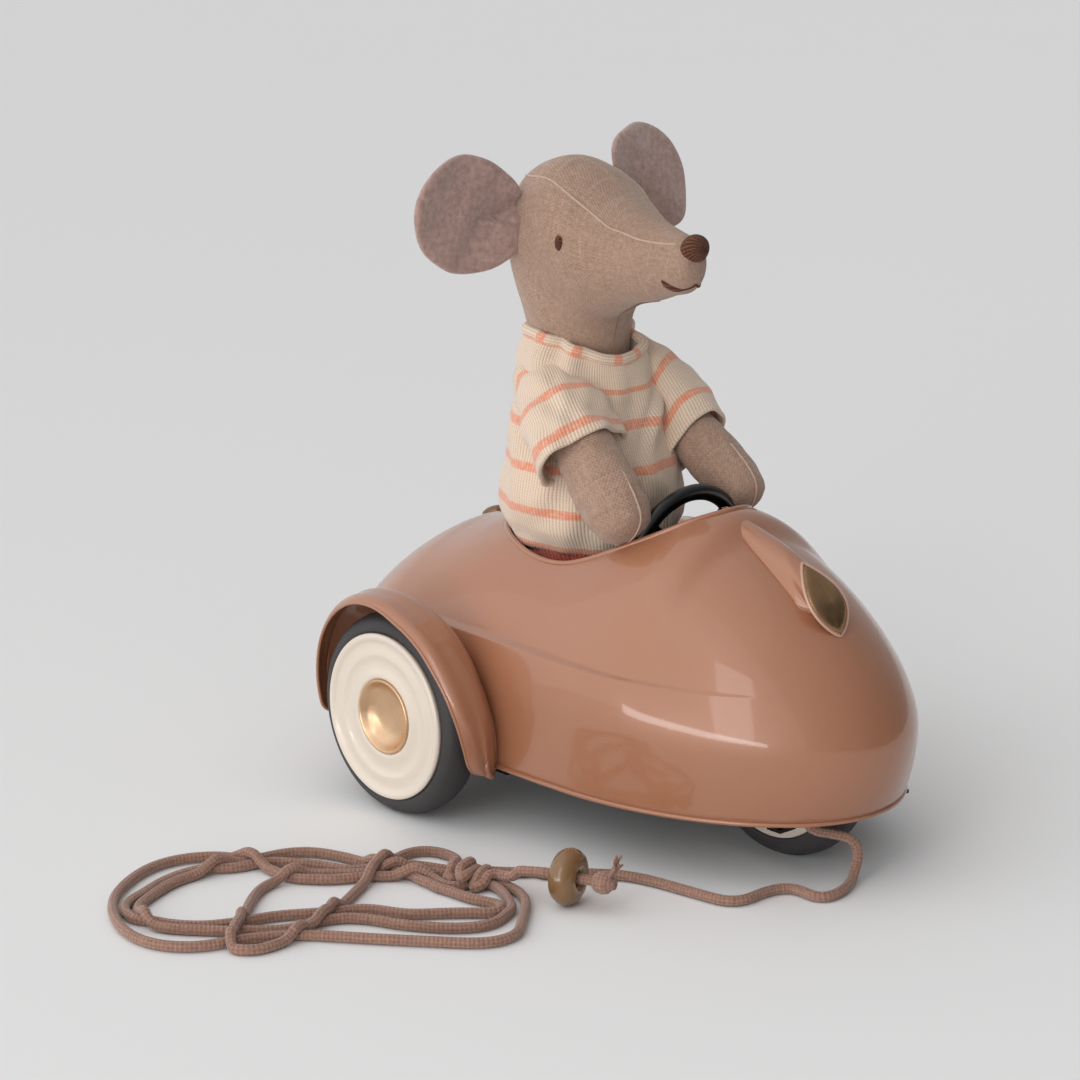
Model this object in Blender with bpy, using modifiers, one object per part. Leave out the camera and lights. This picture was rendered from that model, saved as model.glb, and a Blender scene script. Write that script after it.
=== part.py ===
"""Pull-along tin three-wheeler with a cloth mouse at the wheel.

Working frame, in millimetres: x runs from the rear axle towards the nose, y from
the centreline (the car's right side is -y), z from the ground. at() turns it into
metres about the middle of the car, so that the origin is at the bottom centre.
"""

import math

import bmesh
import bpy
import numpy as np
from mathutils import Matrix, Vector

# ---------------------------------------------------------------- driving sizes
MM = 0.001
MID_X = 31.5  # the middle of the car, ahead of the rear axle

TIN = 0.8  # wall of the pressed tin body
BODY_HALF = 40.0  # half width of the body above its crease
BULGE = 1.5  # how far the lower body stands proud of it
SKIRT_Z = 16.0  # bottom edge of the body
BELT_Z = 33.1  # where the dome starts
CREASE_Z = 46.5
NOSE_X = 115.8
TAIL_X = -52.9
RIM_X, RIM_A, RIM_B, RIM_P = 27.2, 36.1, 23.2, 1.9  # cockpit opening

WHEEL_R = 25.0
DISC_R = 20.6
WHEEL_FACE = 55.0  # outer face of a rear wheel from the centreline
TYRE_IN, TYRE_OUT = 43.6, 54.0
AXLE_R = 1.5
FRONT_X = 83.0  # front wheel, on the centreline
PAN_Z = 17.0
PAN_T = 1.0

RING_X, RING_Z, RING_R, RING_T = 47.5, 64.5, 16.9, 1.75  # steering wheel
RING_TILT = math.radians(8.0)

CORD_R = 1.25
EYE = (102.4, -12.4)  # the eyelet that the pull cord leaves by
GAP = 0.35

for old in list(bpy.data.objects):
    bpy.data.objects.remove(old, do_unlink=True)
CAR = bpy.data.collections.new("tin_three_wheeler_with_mouse")
CUT = bpy.data.collections.new("cutters")
bpy.context.scene.collection.children.link(CAR)
bpy.context.scene.collection.children.link(CUT)
CUT.hide_render = True


def at(x, y, z):
    return Vector(((x - MID_X) * MM, y * MM, z * MM))


# ------------------------------------------------------------------- materials
def material(name, colour, roughness, metallic=0.0):
    m = bpy.data.materials.new(name)
    m.use_nodes = True
    p = m.node_tree.nodes["Principled BSDF"]
    p.inputs["Base Color"].default_value = (*colour, 1)
    p.inputs["Roughness"].default_value = roughness
    p.inputs["Metallic"].default_value = metallic
    return m


PAINT = material("pink_lacquer", (0.43, 0.21, 0.13), 0.2)
CREAM = material("cream_lacquer", (0.75, 0.66, 0.56), 0.3)
BRASS = material("brass", (0.55, 0.38, 0.2), 0.3, 1.0)
RUBBER = material("tyre_rubber", (0.06, 0.055, 0.055), 0.6)
BLACK = material("black_plastic", (0.01, 0.01, 0.012), 0.2)
STEEL = material("bright_steel", (0.5, 0.5, 0.5), 0.35, 1.0)
DARK = material("dark_steel", (0.05, 0.045, 0.045), 0.5, 0.6)
LINEN = material("greige_linen", (0.38, 0.27, 0.21), 0.9)
FELT = material("mauve_felt", (0.3, 0.2, 0.18), 1.0)
BROWN = material("brown_thread", (0.07, 0.035, 0.022), 0.7)
KNIT = material("striped_knit", (0.68, 0.57, 0.45), 0.95)
RED = material("red_twill", (0.55, 0.1, 0.07), 0.95)
CORD = material("taupe_cord", (0.3, 0.17, 0.12), 0.85)


# --------------------------------------------------------------------- helpers
def place(obj, mat, smooth=True):
    for c in list(obj.users_collection):
        c.objects.unlink(obj)
    CAR.objects.link(obj)
    obj.data.materials.clear()
    obj.data.materials.append(mat)
    if smooth and obj.type == "MESH":
        obj.data.shade_smooth()
        obj.data.set_sharp_from_angle(angle=math.radians(40))
    return obj


def mesh_object(name, points, faces, mat, origin=(MID_X, 0, 0)):
    """A mesh whose points are in the working frame, with its origin at the point given."""
    o = at(*origin)
    mesh = bpy.data.meshes.new(name)
    mesh.from_pydata([tuple(at(*p) - o) for p in points], [], faces)
    mesh.validate()
    obj = bpy.data.objects.new(name, mesh)
    CAR.objects.link(obj)
    obj.location = o
    bm = bmesh.new()
    bm.from_mesh(mesh)
    bmesh.ops.recalc_face_normals(bm, faces=bm.faces)
    bm.to_mesh(mesh)
    bm.free()
    return place(obj, mat)


def grid_faces(rows, cols, wrap):
    faces = []
    for i in range(rows - 1):
        for j in range(cols if wrap else cols - 1):
            k = (j + 1) % cols
            faces.append((i * cols + j, i * cols + k, (i + 1) * cols + k, (i + 1) * cols + j))
    return faces


def loft(name, rings, mat, origin=(MID_X, 0, 0)):
    """A closed solid through rings of equal size. A ring of one point closes an end to a pole."""
    points, faces = [], []
    n = max(len(r) for r in rings)
    starts = []
    for r in rings:
        starts.append(len(points))
        points += [tuple(p) for p in r]
    for a, b, i, j in zip(rings, rings[1:], starts, starts[1:]):
        for k in range(n):
            q = (k + 1) % n
            if len(a) == 1:
                faces.append((i, j + q, j + k))
            elif len(b) == 1:
                faces.append((i + k, i + q, j))
            else:
                faces.append((i + k, i + q, j + q, j + k))
    if len(rings[0]) > 1:
        faces.append(tuple(reversed(range(starts[0], starts[0] + n))))
    if len(rings[-1]) > 1:
        faces.append(tuple(range(starts[-1], starts[-1] + n)))
    return mesh_object(name, points, faces, mat, origin)


def oval(centre, u, v, n=16, power=2.0):
    """n points of a superellipse with half axes u and v, which are vectors."""
    c, u, v = (np.array(q, float) for q in (centre, u, v))
    out = []
    for k in range(n):
        t = 2 * math.pi * k / n
        a, b = math.cos(t), math.sin(t)
        e = 2.0 / power
        out.append(c + u * math.copysign(abs(a) ** e, a) + v * math.copysign(abs(b) ** e, b))
    return out


def capsule(name, path, radii, mat, n=12, squash=1.0, origin=(MID_X, 0, 0)):
    """A stuffed limb: round sections along a path, each end closed by a dome."""
    path = [np.array(p, float) for p in path]
    rings = []
    side = np.array([0, 1.0, 0])
    for i, (p, r) in enumerate(zip(path, radii)):
        d = path[min(i + 1, len(path) - 1)] - path[max(i - 1, 0)]
        d /= np.linalg.norm(d)
        u = side - d * (side @ d)
        u /= np.linalg.norm(u)
        v = np.cross(d, u)
        if i == 0:
            rings.append([p - d * r * 0.75])
            rings.append(oval(p - d * r * 0.5, u * r * squash * 0.7, v * r * 0.7, n))
        rings.append(oval(p, u * r * squash, v * r, n))
        if i == len(path) - 1:
            rings.append(oval(p + d * r * 0.5, u * r * squash * 0.75, v * r * 0.75, n))
            rings.append([p + d * r * 0.8])
    return loft(name, rings, mat, origin)


def turned(name, profile, centre, mat, axis="Y", steps=28, flip=False):
    """A turned piece: (radius, height) pairs in millimetres, closed, spun about the axis."""
    mesh = bpy.data.meshes.new(name)
    n = len(profile)
    edges = [(i, (i + 1) % n) for i in range(n)]
    mesh.from_pydata([(r * MM, 0, h * MM) for r, h in profile], edges, [])
    obj = bpy.data.objects.new(name, mesh)
    CAR.objects.link(obj)
    s = obj.modifiers.new("turn", "SCREW")
    s.axis = "Z"
    s.steps = s.render_steps = steps
    s.use_merge_vertices = True
    s.merge_threshold = 0.00005
    s.use_normal_flip = flip
    obj.location = at(*centre)
    if axis == "Y":
        obj.rotation_euler = (math.radians(-90), 0, 0)
    elif axis == "-Y":
        obj.rotation_euler = (math.radians(90), 0, 0)
    elif axis == "X":
        obj.rotation_euler = (0, math.radians(90), 0)
    return place(obj, mat)


def cylinder(name, centre, radius, length, mat, axis="Y", n=16):
    turn = {"X": (0, math.pi / 2, 0), "Y": (math.pi / 2, 0, 0), "Z": (0, 0, 0)}[axis]
    bpy.ops.mesh.primitive_cylinder_add(
        vertices=n, radius=radius * MM, depth=length * MM, location=at(*centre), rotation=turn
    )
    obj = bpy.context.active_object
    obj.name = name
    return place(obj, mat)


def box(name, low, high, mat):
    low, high = np.array(low, float), np.array(high, float)
    bpy.ops.mesh.primitive_cube_add(size=1, location=at(*((low + high) / 2)))
    obj = bpy.context.active_object
    obj.name = name
    obj.data.transform(Matrix.Diagonal((*((high - low) * MM), 1)))
    return place(obj, mat, smooth=False)


def boolean(obj, other, operation="DIFFERENCE"):
    for c in list(other.users_collection):
        c.objects.unlink(other)
    CUT.objects.link(other)
    other.hide_render = True
    other.display_type = "WIRE"
    m = obj.modifiers.new(operation.lower(), "BOOLEAN")
    m.operation = operation
    m.solver = "EXACT"
    m.object = other
    return obj


def bevel(obj, width, segments=1):
    m = obj.modifiers.new("edge", "BEVEL")
    m.width = width * MM
    m.segments = segments
    m.limit_method = "ANGLE"
    m.angle_limit = math.radians(40)


def pchip(xs, ys, x):
    """Monotone cubic through the points, which never overshoots them."""
    xs, ys, x = (np.asarray(q, float) for q in (xs, ys, x))
    h, m = np.diff(xs), np.zeros(len(xs))
    d = np.diff(ys) / h
    m[0], m[-1] = d[0], d[-1]
    for i in range(1, len(xs) - 1):
        if d[i - 1] * d[i] > 0:
            a, b = 2 * h[i] + h[i - 1], h[i] + 2 * h[i - 1]
            m[i] = (a + b) / (a / d[i - 1] + b / d[i])
    x = np.clip(x, xs[0], xs[-1])
    k = np.clip(np.searchsorted(xs, x, side="right") - 1, 0, len(xs) - 2)
    t = (x - xs[k]) / h[k]
    return (
        (2 * t**3 - 3 * t**2 + 1) * ys[k]
        + (t**3 - 2 * t**2 + t) * h[k] * m[k]
        + (-2 * t**3 + 3 * t**2) * ys[k + 1]
        + (t**3 - t**2) * h[k] * m[k + 1]
    )


def through(points, step, closed=False):
    """Points at even steps along a smooth curve through the points given."""
    p = np.array(points, float)
    if closed:
        p = np.vstack([p[-1], p, p[0], p[1]])
    else:
        p = np.vstack([2 * p[0] - p[1], p, 2 * p[-1] - p[-2]])
    fine = []
    for a, b, c, d in zip(p, p[1:], p[2:], p[3:]):
        for t in np.linspace(0, 1, 16, endpoint=False):
            fine.append(
                0.5 * (2 * b + (c - a) * t + (2 * a - 5 * b + 4 * c - d) * t**2 + (3 * b - a - 3 * c + d) * t**3)
            )
    if not closed:
        fine.append(p[-2])
    else:
        fine.append(fine[0])
    fine = np.array(fine)
    s = np.concatenate([[0], np.cumsum(np.linalg.norm(np.diff(fine, axis=0), axis=1))])
    count = max(2, int(round(s[-1] / step)) + 1)
    q = np.linspace(0, s[-1], count)
    out = np.stack([np.interp(q, s, fine[:, i]) for i in range(3)], axis=1)
    return out[:-1] if closed else out


def wire(name, points, radius, mat, resolution=2):
    curve = bpy.data.curves.new(name, "CURVE")
    curve.dimensions = "3D"
    s = curve.splines.new("POLY")
    s.points.add(len(points) - 1)
    for q, p in zip(s.points, points):
        q.co = (*at(*p), 1)
    curve.bevel_depth = radius * MM
    curve.bevel_resolution = resolution
    curve.use_fill_caps = True
    obj = bpy.data.objects.new(name, curve)
    CAR.objects.link(obj)
    obj.data.materials.append(mat)
    return obj


# ---------------------------------------------------------------- body surface
def half_width(x):
    """Half width of the dome at its belt."""
    x = np.asarray(x, float)
    f = np.clip((x - 51.4) / (NOSE_X - 51.4), 0, 1)
    r = np.clip((-5 - x) / (-5 - TAIL_X), 0, 1)
    return BODY_HALF * (1 - f**1.95) ** (1 / 1.95) * (1 - r**2.24) ** (1 / 2.24)


def crown(x):
    """Height of the dome over the centreline."""
    x = np.asarray(x, float)
    mid = pchip((-20, 5, 30, 50, 66, 72), (62.3, 69.9, 73.4, 78.8, 80.6, 77.7), x)
    f = np.clip((x - 60) / (NOSE_X - 60), 0, 1)
    r = np.clip((-20 - x) / (-20 - TAIL_X), 0, 1)
    return BELT_Z + (mid - BELT_Z) * (1 - f**1.5) ** (1 / 1.5) * (1 - r**1.4) ** (1 / 1.4)


def dome(x, y):
    w = np.maximum(half_width(x), 1e-6)
    q = np.clip(np.abs(y) / w, 0, 1)
    return BELT_Z + (crown(x) - BELT_Z) * (1 - q**1.8) ** (1 / 1.8)


def outline(count):
    """Plan of the belt, anticlockwise from the nose, at even steps."""
    t = np.linspace(0, math.pi / 2, 400)
    fx = 51.4 + (NOSE_X - 51.4) * np.cos(t) ** (2 / 1.95)
    fy = BODY_HALF * np.sin(t) ** (2 / 1.95)
    rx = -5 + (TAIL_X + 5) * np.sin(t) ** (2 / 2.24)
    ry = BODY_HALF * np.cos(t) ** (2 / 2.24)
    x, y = np.concatenate([fx, rx]), np.concatenate([fy, ry])
    s = np.concatenate([[0], np.cumsum(np.hypot(np.diff(x), np.diff(y)))])
    q = np.linspace(0, s[-1], count // 2 + 1)
    hx, hy = np.interp(q, s, x), np.interp(q, s, y)
    return np.concatenate([hx, hx[-2:0:-1]]), np.concatenate([hy, -hy[-2:0:-1]])


def rim(count):
    t = np.linspace(0, 2 * math.pi, count, endpoint=False)
    e = 2 / RIM_P
    return (
        RIM_X + RIM_A * np.sign(np.cos(t)) * np.abs(np.cos(t)) ** e,
        RIM_B * np.sign(np.sin(t)) * np.abs(np.sin(t)) ** e,
    )


def bulge(x, z):
    """How far the lower body stands proud of the dome."""
    along = np.clip((x + 30) / 30, 0, 1) * np.clip((100 - x) / 60, 0, 1)
    down = np.clip((CREASE_Z + 0.6 - z) / 1.2, 0, 1)
    return BULGE * along * (down * down * (3 - 2 * down))


def body_rows(count, low, high):
    """Rows of points from the skirt up to the cockpit rim.

    low are heights of rows on the skirt, high the shares of the way from the crease to the rim."""
    ox, oy = outline(count)
    rx, ry = rim(count)
    nx, ny = np.gradient(oy), -np.gradient(ox)
    nx[0], ny[0] = 1, 0
    size = np.hypot(nx, ny)
    nx, ny = nx / size, ny / size
    rows = []
    for z in low:
        if z <= BELT_Z:
            # the skirt tucks in under the nose and the tail
            k = (BELT_Z - z) / (BELT_Z - SKIRT_Z)
            tuck = k**2 * (4.8 * np.abs(nx) ** 1.5)
            rows.append(np.stack([ox - nx * tuck, oy - ny * tuck, np.full(count, z)], 1))
            s = 1.0
        else:
            # find how far in along each rib the dome reaches this height
            a, b = np.zeros(count), np.ones(count)
            for _ in range(40):
                m = (a + b) / 2
                up = dome(ox + (rx - ox) * m, oy + (ry - oy) * m) > z
                b, a = np.where(up, m, b), np.where(up, a, m)
            m = (a + b) / 2
            rows.append(np.stack([ox + (rx - ox) * m, oy + (ry - oy) * m, np.full(count, z)], 1))
            s = m
        b = bulge(rows[-1][:, 0], z)
        rows[-1][:, 1] += np.sign(oy) * b * np.abs(ny)
        last = s
    for h in high:
        m = last + (1 - last) * h
        x, y = ox + (rx - ox) * m, oy + (ry - oy) * m
        rows.append(np.stack([x, y, dome(x, y)], 1))
    return rows


COUNT = 56
rows = body_rows(
    COUNT, (SKIRT_Z, 25, BELT_Z, 40, 45.7, 47.2), (0.1, 0.25, 0.42, 0.6, 0.8, 1.0)
)
body_shell = mesh_object(
    "body_shell", np.vstack(rows), grid_faces(len(rows), COUNT, True), PAINT
)
wall = body_shell.modifiers.new("tin", "SOLIDIFY")
wall.thickness = TIN * MM
wall.offset = -1
wall.use_even_offset = True
axle_cut = cylinder("axle_cut", (0, 0, 25), 2.6, 130, STEEL, n=16)
boolean(body_shell, axle_cut)

# --------------------------------------------------------- raised lamp pod and lens
POD_X = (64.0, 70.0, 76.0, 82.0, 88.0, 93.0, 96.0)
POD_TOP = (79.9, 78.3, 77.0, 75.4, 73.6, 71.2, 68.6)
POD_W = (1.6, 3.6, 4.8, 5.7, 6.4, 6.7, 6.7)


def pod_section(x, top, w, floor=0.5, n=9):
    """An arch over the hood from one side to the other, then back along the hood."""
    out = []
    for k in range(n):
        t = math.pi * k / (n - 1)
        y = -w * math.cos(t)
        base = float(dome(x, y)) + floor
        h = max(0.5, top - float(dome(x, 0)) - floor)
        out.append((x, y, base + 0.25 + h * math.sin(t) ** 0.8))
    for k in range(n - 2, 0, -1):
        t = math.pi * k / (n - 1)
        y = -w * math.cos(t)
        out.append((x, y, float(dome(x, y)) + floor))
    return out


pod_rings = [pod_section(x, t, w) for x, t, w in zip(POD_X, POD_TOP, POD_W)]
headlight_pod = loft("headlight_pod", pod_rings, PAINT)

lens_dir = np.array([7.0, 0, -11.5])
lens_dir /= np.linalg.norm(lens_dir)
lens_out = np.array([-lens_dir[2], 0, lens_dir[0]])
lens_mid = np.array([98.9, 0, 65.2])
lens_rings = [
    oval(lens_mid + lens_out * h, lens_dir * 6.2 * s, np.array([0, 4.9, 0]) * s, 16)
    for h, s in ((0.0, 0.98), (0.6, 1.0), (1.6, 0.8), (2.3, 0.45))
]
lens_rings.append([lens_mid + lens_out * 2.6])
headlight_lens = loft("headlight_lens", lens_rings, BRASS)

# ---------------------------------------------------------------------- fenders
# the open edge of the arch: angle about the wheel, distance out, radius
ARCH_T = (-20, 0, 20, 45, 70, 95, 120, 150, 175, 195)
ARCH_Y = (50.2, 53.6, 55.6, 56.8, 57.0, 56.0, 54.6, 53.0, 51.6, 50.6)
ARCH_R = (28.4, 27.9, 27.2, 26.6, 26.6, 27.6, 28.8, 29.3, 29.2, 28.6)
# the seam against the body
SEAM_R = (28.2, 26.3, 24.2, 21.6, 20.4, 21.4, 25.0, 29.2, 29.6, 29.0)


def fender_rows(steps, side):
    rows = []
    for a in np.linspace(-20, 195, steps):
        y0, r0 = float(pchip(ARCH_T, ARCH_Y, a)), float(pchip(ARCH_T, ARCH_R, a))
        r3 = float(pchip(ARCH_T, SEAM_R, a))
        c, s = math.cos(math.radians(a)), math.sin(math.radians(a))
        # where the seam meets the side of the body
        x3, z3 = r3 * c, 25 + r3 * s
        y3 = BODY_HALF
        if z3 > BELT_Z:
            q = (z3 - BELT_Z) / (float(crown(x3)) - BELT_Z)
            y3 = (1 - min(q, 0.999) ** 1.8) ** (1 / 1.8) * float(half_width(x3))
        else:
            y3 = float(half_width(x3))
        y3 += float(bulge(x3, z3)) + 1.3
        top = max(r0, r3) + 1.3
        section = [
            (y0, r0),
            (y0 - 1.6, r0 + 1.5),
            (y0 - 4.5, top + 0.6),
            (47.5, top + 0.9),
            (44.0, max(26.6, 0.5 * (top + r3) + 0.8)),
            (0.5 * (43.0 + y3), 0.45 * max(26.2, r3) + 0.55 * r3),
            (y3, r3),
        ]
        row = []
        for y, r in section:
            row.append((r * c, side * y, 25 + r * s))
        rows.append(row)
    return rows


fenders = []
for side, label in ((-1, "right"), (1, "left")):
    fr = fender_rows(26, side)
    pts = [p for r in fr for p in r]
    f = mesh_object("fender_" + label, pts, grid_faces(len(fr), len(fr[0]), False), PAINT)
    # point the faces away from the wheel
    bm = bmesh.new()
    bm.from_mesh(f.data)
    bm.faces.ensure_lookup_table()
    hub = at(0, side * 47, 25) - f.location
    flips = sum(1 if q.normal.dot(q.calc_center_median() - hub) < 0 else -1 for q in bm.faces)
    if flips > 0:
        bmesh.ops.reverse_faces(bm, faces=bm.faces)
    bm.to_mesh(f.data)
    bm.free()
    w = f.modifiers.new("tin", "SOLIDIFY")
    w.thickness = TIN * 0.7 * MM
    w.offset = -1
    fenders.append(f)

# -------------------------------------------------------------------- floor pan
# the skirt's own bottom row, taken in by the wall and a running gap
bottom = rows[0][:, :2]
nx, ny = np.gradient(bottom[:, 1]), -np.gradient(bottom[:, 0])
nx[0], ny[0] = 1, 0
size = np.hypot(nx, ny)
edge = bottom - np.stack([nx, ny], 1) / size[:, None] * (TIN + 0.55)
floor_pan = loft(
    "floor_pan",
    [[(x, y, z) for x, y in edge] for z in (PAN_Z, PAN_Z + PAN_T)],
    DARK,
)
boolean(floor_pan, box("front_slot", (FRONT_X - 28, -7.6, 5), (130, 7.6, 30), DARK))
boolean(floor_pan, cylinder("eyelet_hole", (*EYE, PAN_Z), 2.7, 8, DARK, "Z"))
for k, (x, y) in enumerate(((27.5, -40.2), (27.5, 40.2), (100.5, -20.6), (100.5, 20.6))):
    s = math.copysign(1, y)
    a = abs(y)
    yl, yh = sorted((s * (a - 4.2), s * (a + 0.9)))
    boolean(floor_pan, box(f"tab_out_{k}", (x - 2.2, yl, 14.6), (x + 2.2, yh, 15.5), DARK), "UNION")
    yl, yh = sorted((s * (a - 4.2), s * (a - 2.6)))
    boolean(floor_pan, box(f"tab_up_{k}", (x - 2.2, yl, 14.8), (x + 2.2, yh, PAN_Z + 0.5), DARK), "UNION")

# ------------------------------------------------- rear axle, wheels and brackets
for side, label in ((-1, "right"), (1, "left")):
    yl, yh = sorted((side * 33.0, side * 34.2))
    b = box("rear_axle_bracket_" + label, (-5, yl, PAN_Z + PAN_T + GAP), (5, yh, 30.0), DARK)
    yl, yh = sorted((side * 28.5, side * 33.6))
    boolean(b, box("bracket_foot_" + label, (-5, yl, PAN_Z + PAN_T + GAP), (5, yh, PAN_Z + PAN_T + GAP + 1.1), DARK), "UNION")
    boolean(b, cylinder("bracket_hole_" + label, (0, side * 33.6, 25), AXLE_R + 0.3, 6, DARK, n=16))

rear_axle = cylinder("rear_axle", (0, 0, 25), AXLE_R, 100.0, STEEL, n=16)

# turned profiles: radius, then height along the axle, which points out of the car
REAR_DISC = [
    (AXLE_R + 0.4, 51.0), (AXLE_R + 0.4, 44.6), (19.6, 44.6), (19.6, 54.3), (DISC_R, 54.3),
    (DISC_R, 54.9), (17.5, 55.1), (14.5, 54.4), (12.0, 54.8), (10.2, 54.9), (9.6, 53.9), (6.5, 52.0), (4.0, 51.0),
]
TYRE = [
    (19.95, TYRE_IN + 0.6), (21.5, TYRE_IN), (23.6, TYRE_IN + 0.9), (24.75, TYRE_IN + 3.2),
    (WHEEL_R, 48.8), (24.75, TYRE_OUT - 3.2), (23.4, TYRE_OUT - 0.9), (21.3, TYRE_OUT), (19.95, TYRE_OUT - 0.2),
]
HUB = [(9.2, 54.35), (6.3, 52.4), (3.0, 51.55), (0, 51.4), (0, 52.0), (3.0, 52.2), (6.0, 53.2), (8.8, 55.0), (9.2, 54.9)]


def down_the_outside(profile):
    """Order a closed profile so that its outer side runs down."""
    a = 0.0
    for (r0, h0), (r1, h1) in zip(profile, profile[1:] + profile[:1]):
        a += r0 * h1 - r1 * h0
    return profile if a < 0 else profile[::-1]


for side, label in ((-1, "right"), (1, "left")):
    ax = "Y" if side > 0 else "-Y"
    turned("rear_wheel_disc_" + label, down_the_outside(REAR_DISC), (0, 0, 25), CREAM, ax)
    turned("rear_tyre_" + label, down_the_outside(TYRE), (0, 0, 25), RUBBER, ax)
    # the brass dish is a surface closed at the axle, so its two axis points stay open to each other
    mesh_pts = HUB
    m = bpy.data.meshes.new("hub")
    m.from_pydata([(r * MM, 0, h * MM) for r, h in mesh_pts[4:] + mesh_pts[:4]], [(i, i + 1) for i in range(8)], [])
    o = bpy.data.objects.new("rear_hub_cap_" + label, m)
    CAR.objects.link(o)
    s = o.modifiers.new("turn", "SCREW")
    s.axis = "Z"
    s.steps = s.render_steps = 24
    s.use_merge_vertices = True
    s.merge_threshold = 0.00005
    o.location = at(0, 0, 25)
    o.rotation_euler = (math.radians(-90 * side), 0, 0)
    place(o, BRASS)

# --------------------------------------------------------------- front wheel
FRONT_DISC = [
    (AXLE_R + 0.4, 4.6), (AXLE_R + 0.4, -4.6), (5.0, -4.6), (9.0, -5.4), (16.5, -5.6), (19.6, -4.9),
    (19.6, 4.9), (16.5, 5.6), (9.0, 5.4), (5.0, 4.6),
]
FRONT_TYRE = [
    (19.95, -4.6), (21.5, -5.2), (23.6, -4.3), (24.75, -2.0), (WHEEL_R, 0), (24.75, 2.0),
    (23.6, 4.3), (21.5, 5.2), (19.95, 4.6),
]
turned("front_wheel_disc", down_the_outside(FRONT_DISC), (FRONT_X, 0, 25), CREAM)
turned("front_tyre", down_the_outside(FRONT_TYRE), (FRONT_X, 0, 25), RUBBER)
cylinder("front_axle", (FRONT_X, 0, 25), AXLE_R, 24.0, STEEL, n=16)
for side, label in ((-1, "right"), (1, "left")):
    yl, yh = sorted((side * 9.2, side * 10.3))
    b = box("front_axle_bracket_" + label, (FRONT_X - 5, yl, PAN_Z + PAN_T + GAP), (FRONT_X + 5, yh, 30.0), DARK)
    yl, yh = sorted((side * 9.7, side * 14.5))
    boolean(b, box("front_foot_" + label, (FRONT_X - 5, yl, PAN_Z + PAN_T + GAP), (FRONT_X + 5, yh, PAN_Z + PAN_T + GAP + 1.1), DARK), "UNION")
    boolean(b, cylinder("front_hole_" + label, (FRONT_X, side * 9.8, 25), AXLE_R + 0.3, 5, DARK, n=16))

# ------------------------------------------------------- seat, dash and steering
SEAT_TOP = 40.0
seat_pan = box("seat_pan", (-13, -24, SEAT_TOP - 1.1), (18, 24, SEAT_TOP), DARK)
for k, x in enumerate((-13, 16.9)):
    boolean(seat_pan, box(f"seat_leg_{k}", (x, -24, PAN_Z + PAN_T + GAP), (x + 1.1, 24, SEAT_TOP - 0.5), DARK), "UNION")

top_y = np.linspace(-26, 26, 13)
dash_outline = [(y, float(dome(66.5, y)) - TIN - 2.4 - 0.0025 * y * y) for y in top_y] + [(26, 50.0), (-26, 50.0)]
dashboard = loft("dashboard", [[(x, y, z) for y, z in dash_outline] for x in (65.6, 66.8)], DARK)

e_up = np.array([math.sin(RING_TILT), 0, math.cos(RING_TILT)])
e_side = np.array([0, 1.0, 0])
e_face = np.array([-math.cos(RING_TILT), 0, math.sin(RING_TILT)])
ring_mid = np.array([RING_X, 0, RING_Z])
tilt = math.pi / 2 + RING_TILT


def on_ring(obj):
    """Turn a piece made about Z so that it faces the driver."""
    obj.rotation_euler = (0, -(math.pi / 2 - RING_TILT), 0)
    return obj


bpy.ops.mesh.primitive_torus_add(
    major_segments=36, minor_segments=10, major_radius=RING_R * MM, minor_radius=RING_T * MM, location=at(*ring_mid)
)
steering_wheel = bpy.context.active_object
steering_wheel.name = "steering_wheel"
on_ring(steering_wheel)
place(steering_wheel, BLACK)
hub = on_ring(cylinder("ring_hub", tuple(ring_mid), 7.6, 2.6, BLACK, "Z", 24))
boolean(steering_wheel, hub, "UNION")
for k, a in enumerate((35, 145, 270)):
    d = e_side * math.cos(math.radians(a)) + e_up * math.sin(math.radians(a))
    q = np.cross(e_face, d)
    lo, hi = ring_mid + d * 5.5, ring_mid + d * RING_R
    rings = [
        [p + q * 3.0 * i + e_face * 0.9 * j for i, j in ((1, 1), (-1, 1), (-1, -1), (1, -1))]
        for p in (lo, hi)
    ]
    spoke = loft(f"ring_spoke_{k}", rings, BLACK)
    boolean(steering_wheel, spoke, "UNION")
col_a = ring_mid - e_face * (1.3 + GAP)
col_b = ring_mid - e_face * 19.5
steering_column = cylinder("steering_column", tuple((col_a + col_b) / 2), 1.8, float(np.linalg.norm(col_b - col_a)), STEEL, "Z")
on_ring(steering_column)
hole_at = ring_mid - e_face * 18.9
boolean(dashboard, on_ring(cylinder("column_hole", tuple(hole_at), 2.4, 12, DARK, "Z")))
bush_p = [(2.2, 0.0), (2.2, 3.2), (3.7, 3.2), (3.7, 0.0)]
bush = turned("column_bush", down_the_outside(bush_p), tuple(ring_mid - e_face * 17.2), BLACK, "Z", 20)
on_ring(bush)

# --------------------------------------------------------------------- small trim
cap_at = np.array([-29.5, 8.0, float(dome(-29.5, 8.0))])
eps = 0.5
dx = float(dome(-29.5 + eps, 8.0) - dome(-29.5 - eps, 8.0)) / (2 * eps)
dy = float(dome(-29.5, 8.0 + eps) - dome(-29.5, 8.0 - eps)) / (2 * eps)
up = Vector((-dx, -dy, 1)).normalized()
filler_p = [(0, 2.6), (2.6, 2.4), (3.6, 1.7), (3.9, 0.9), (3.9, 0.6), (0, 0.6)]
fm = bpy.data.meshes.new("filler_cap")
fm.from_pydata([(r * MM, 0, h * MM) for r, h in filler_p], [(i, i + 1) for i in range(5)], [])
filler_cap = bpy.data.objects.new("filler_cap", fm)
CAR.objects.link(filler_cap)
s = filler_cap.modifiers.new("turn", "SCREW")
s.axis = "Z"
s.steps = s.render_steps = 20
s.use_merge_vertices = True
s.merge_threshold = 0.00005
filler_cap.location = at(*cap_at)
filler_cap.rotation_euler = up.to_track_quat("Z", "Y").to_euler()
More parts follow.
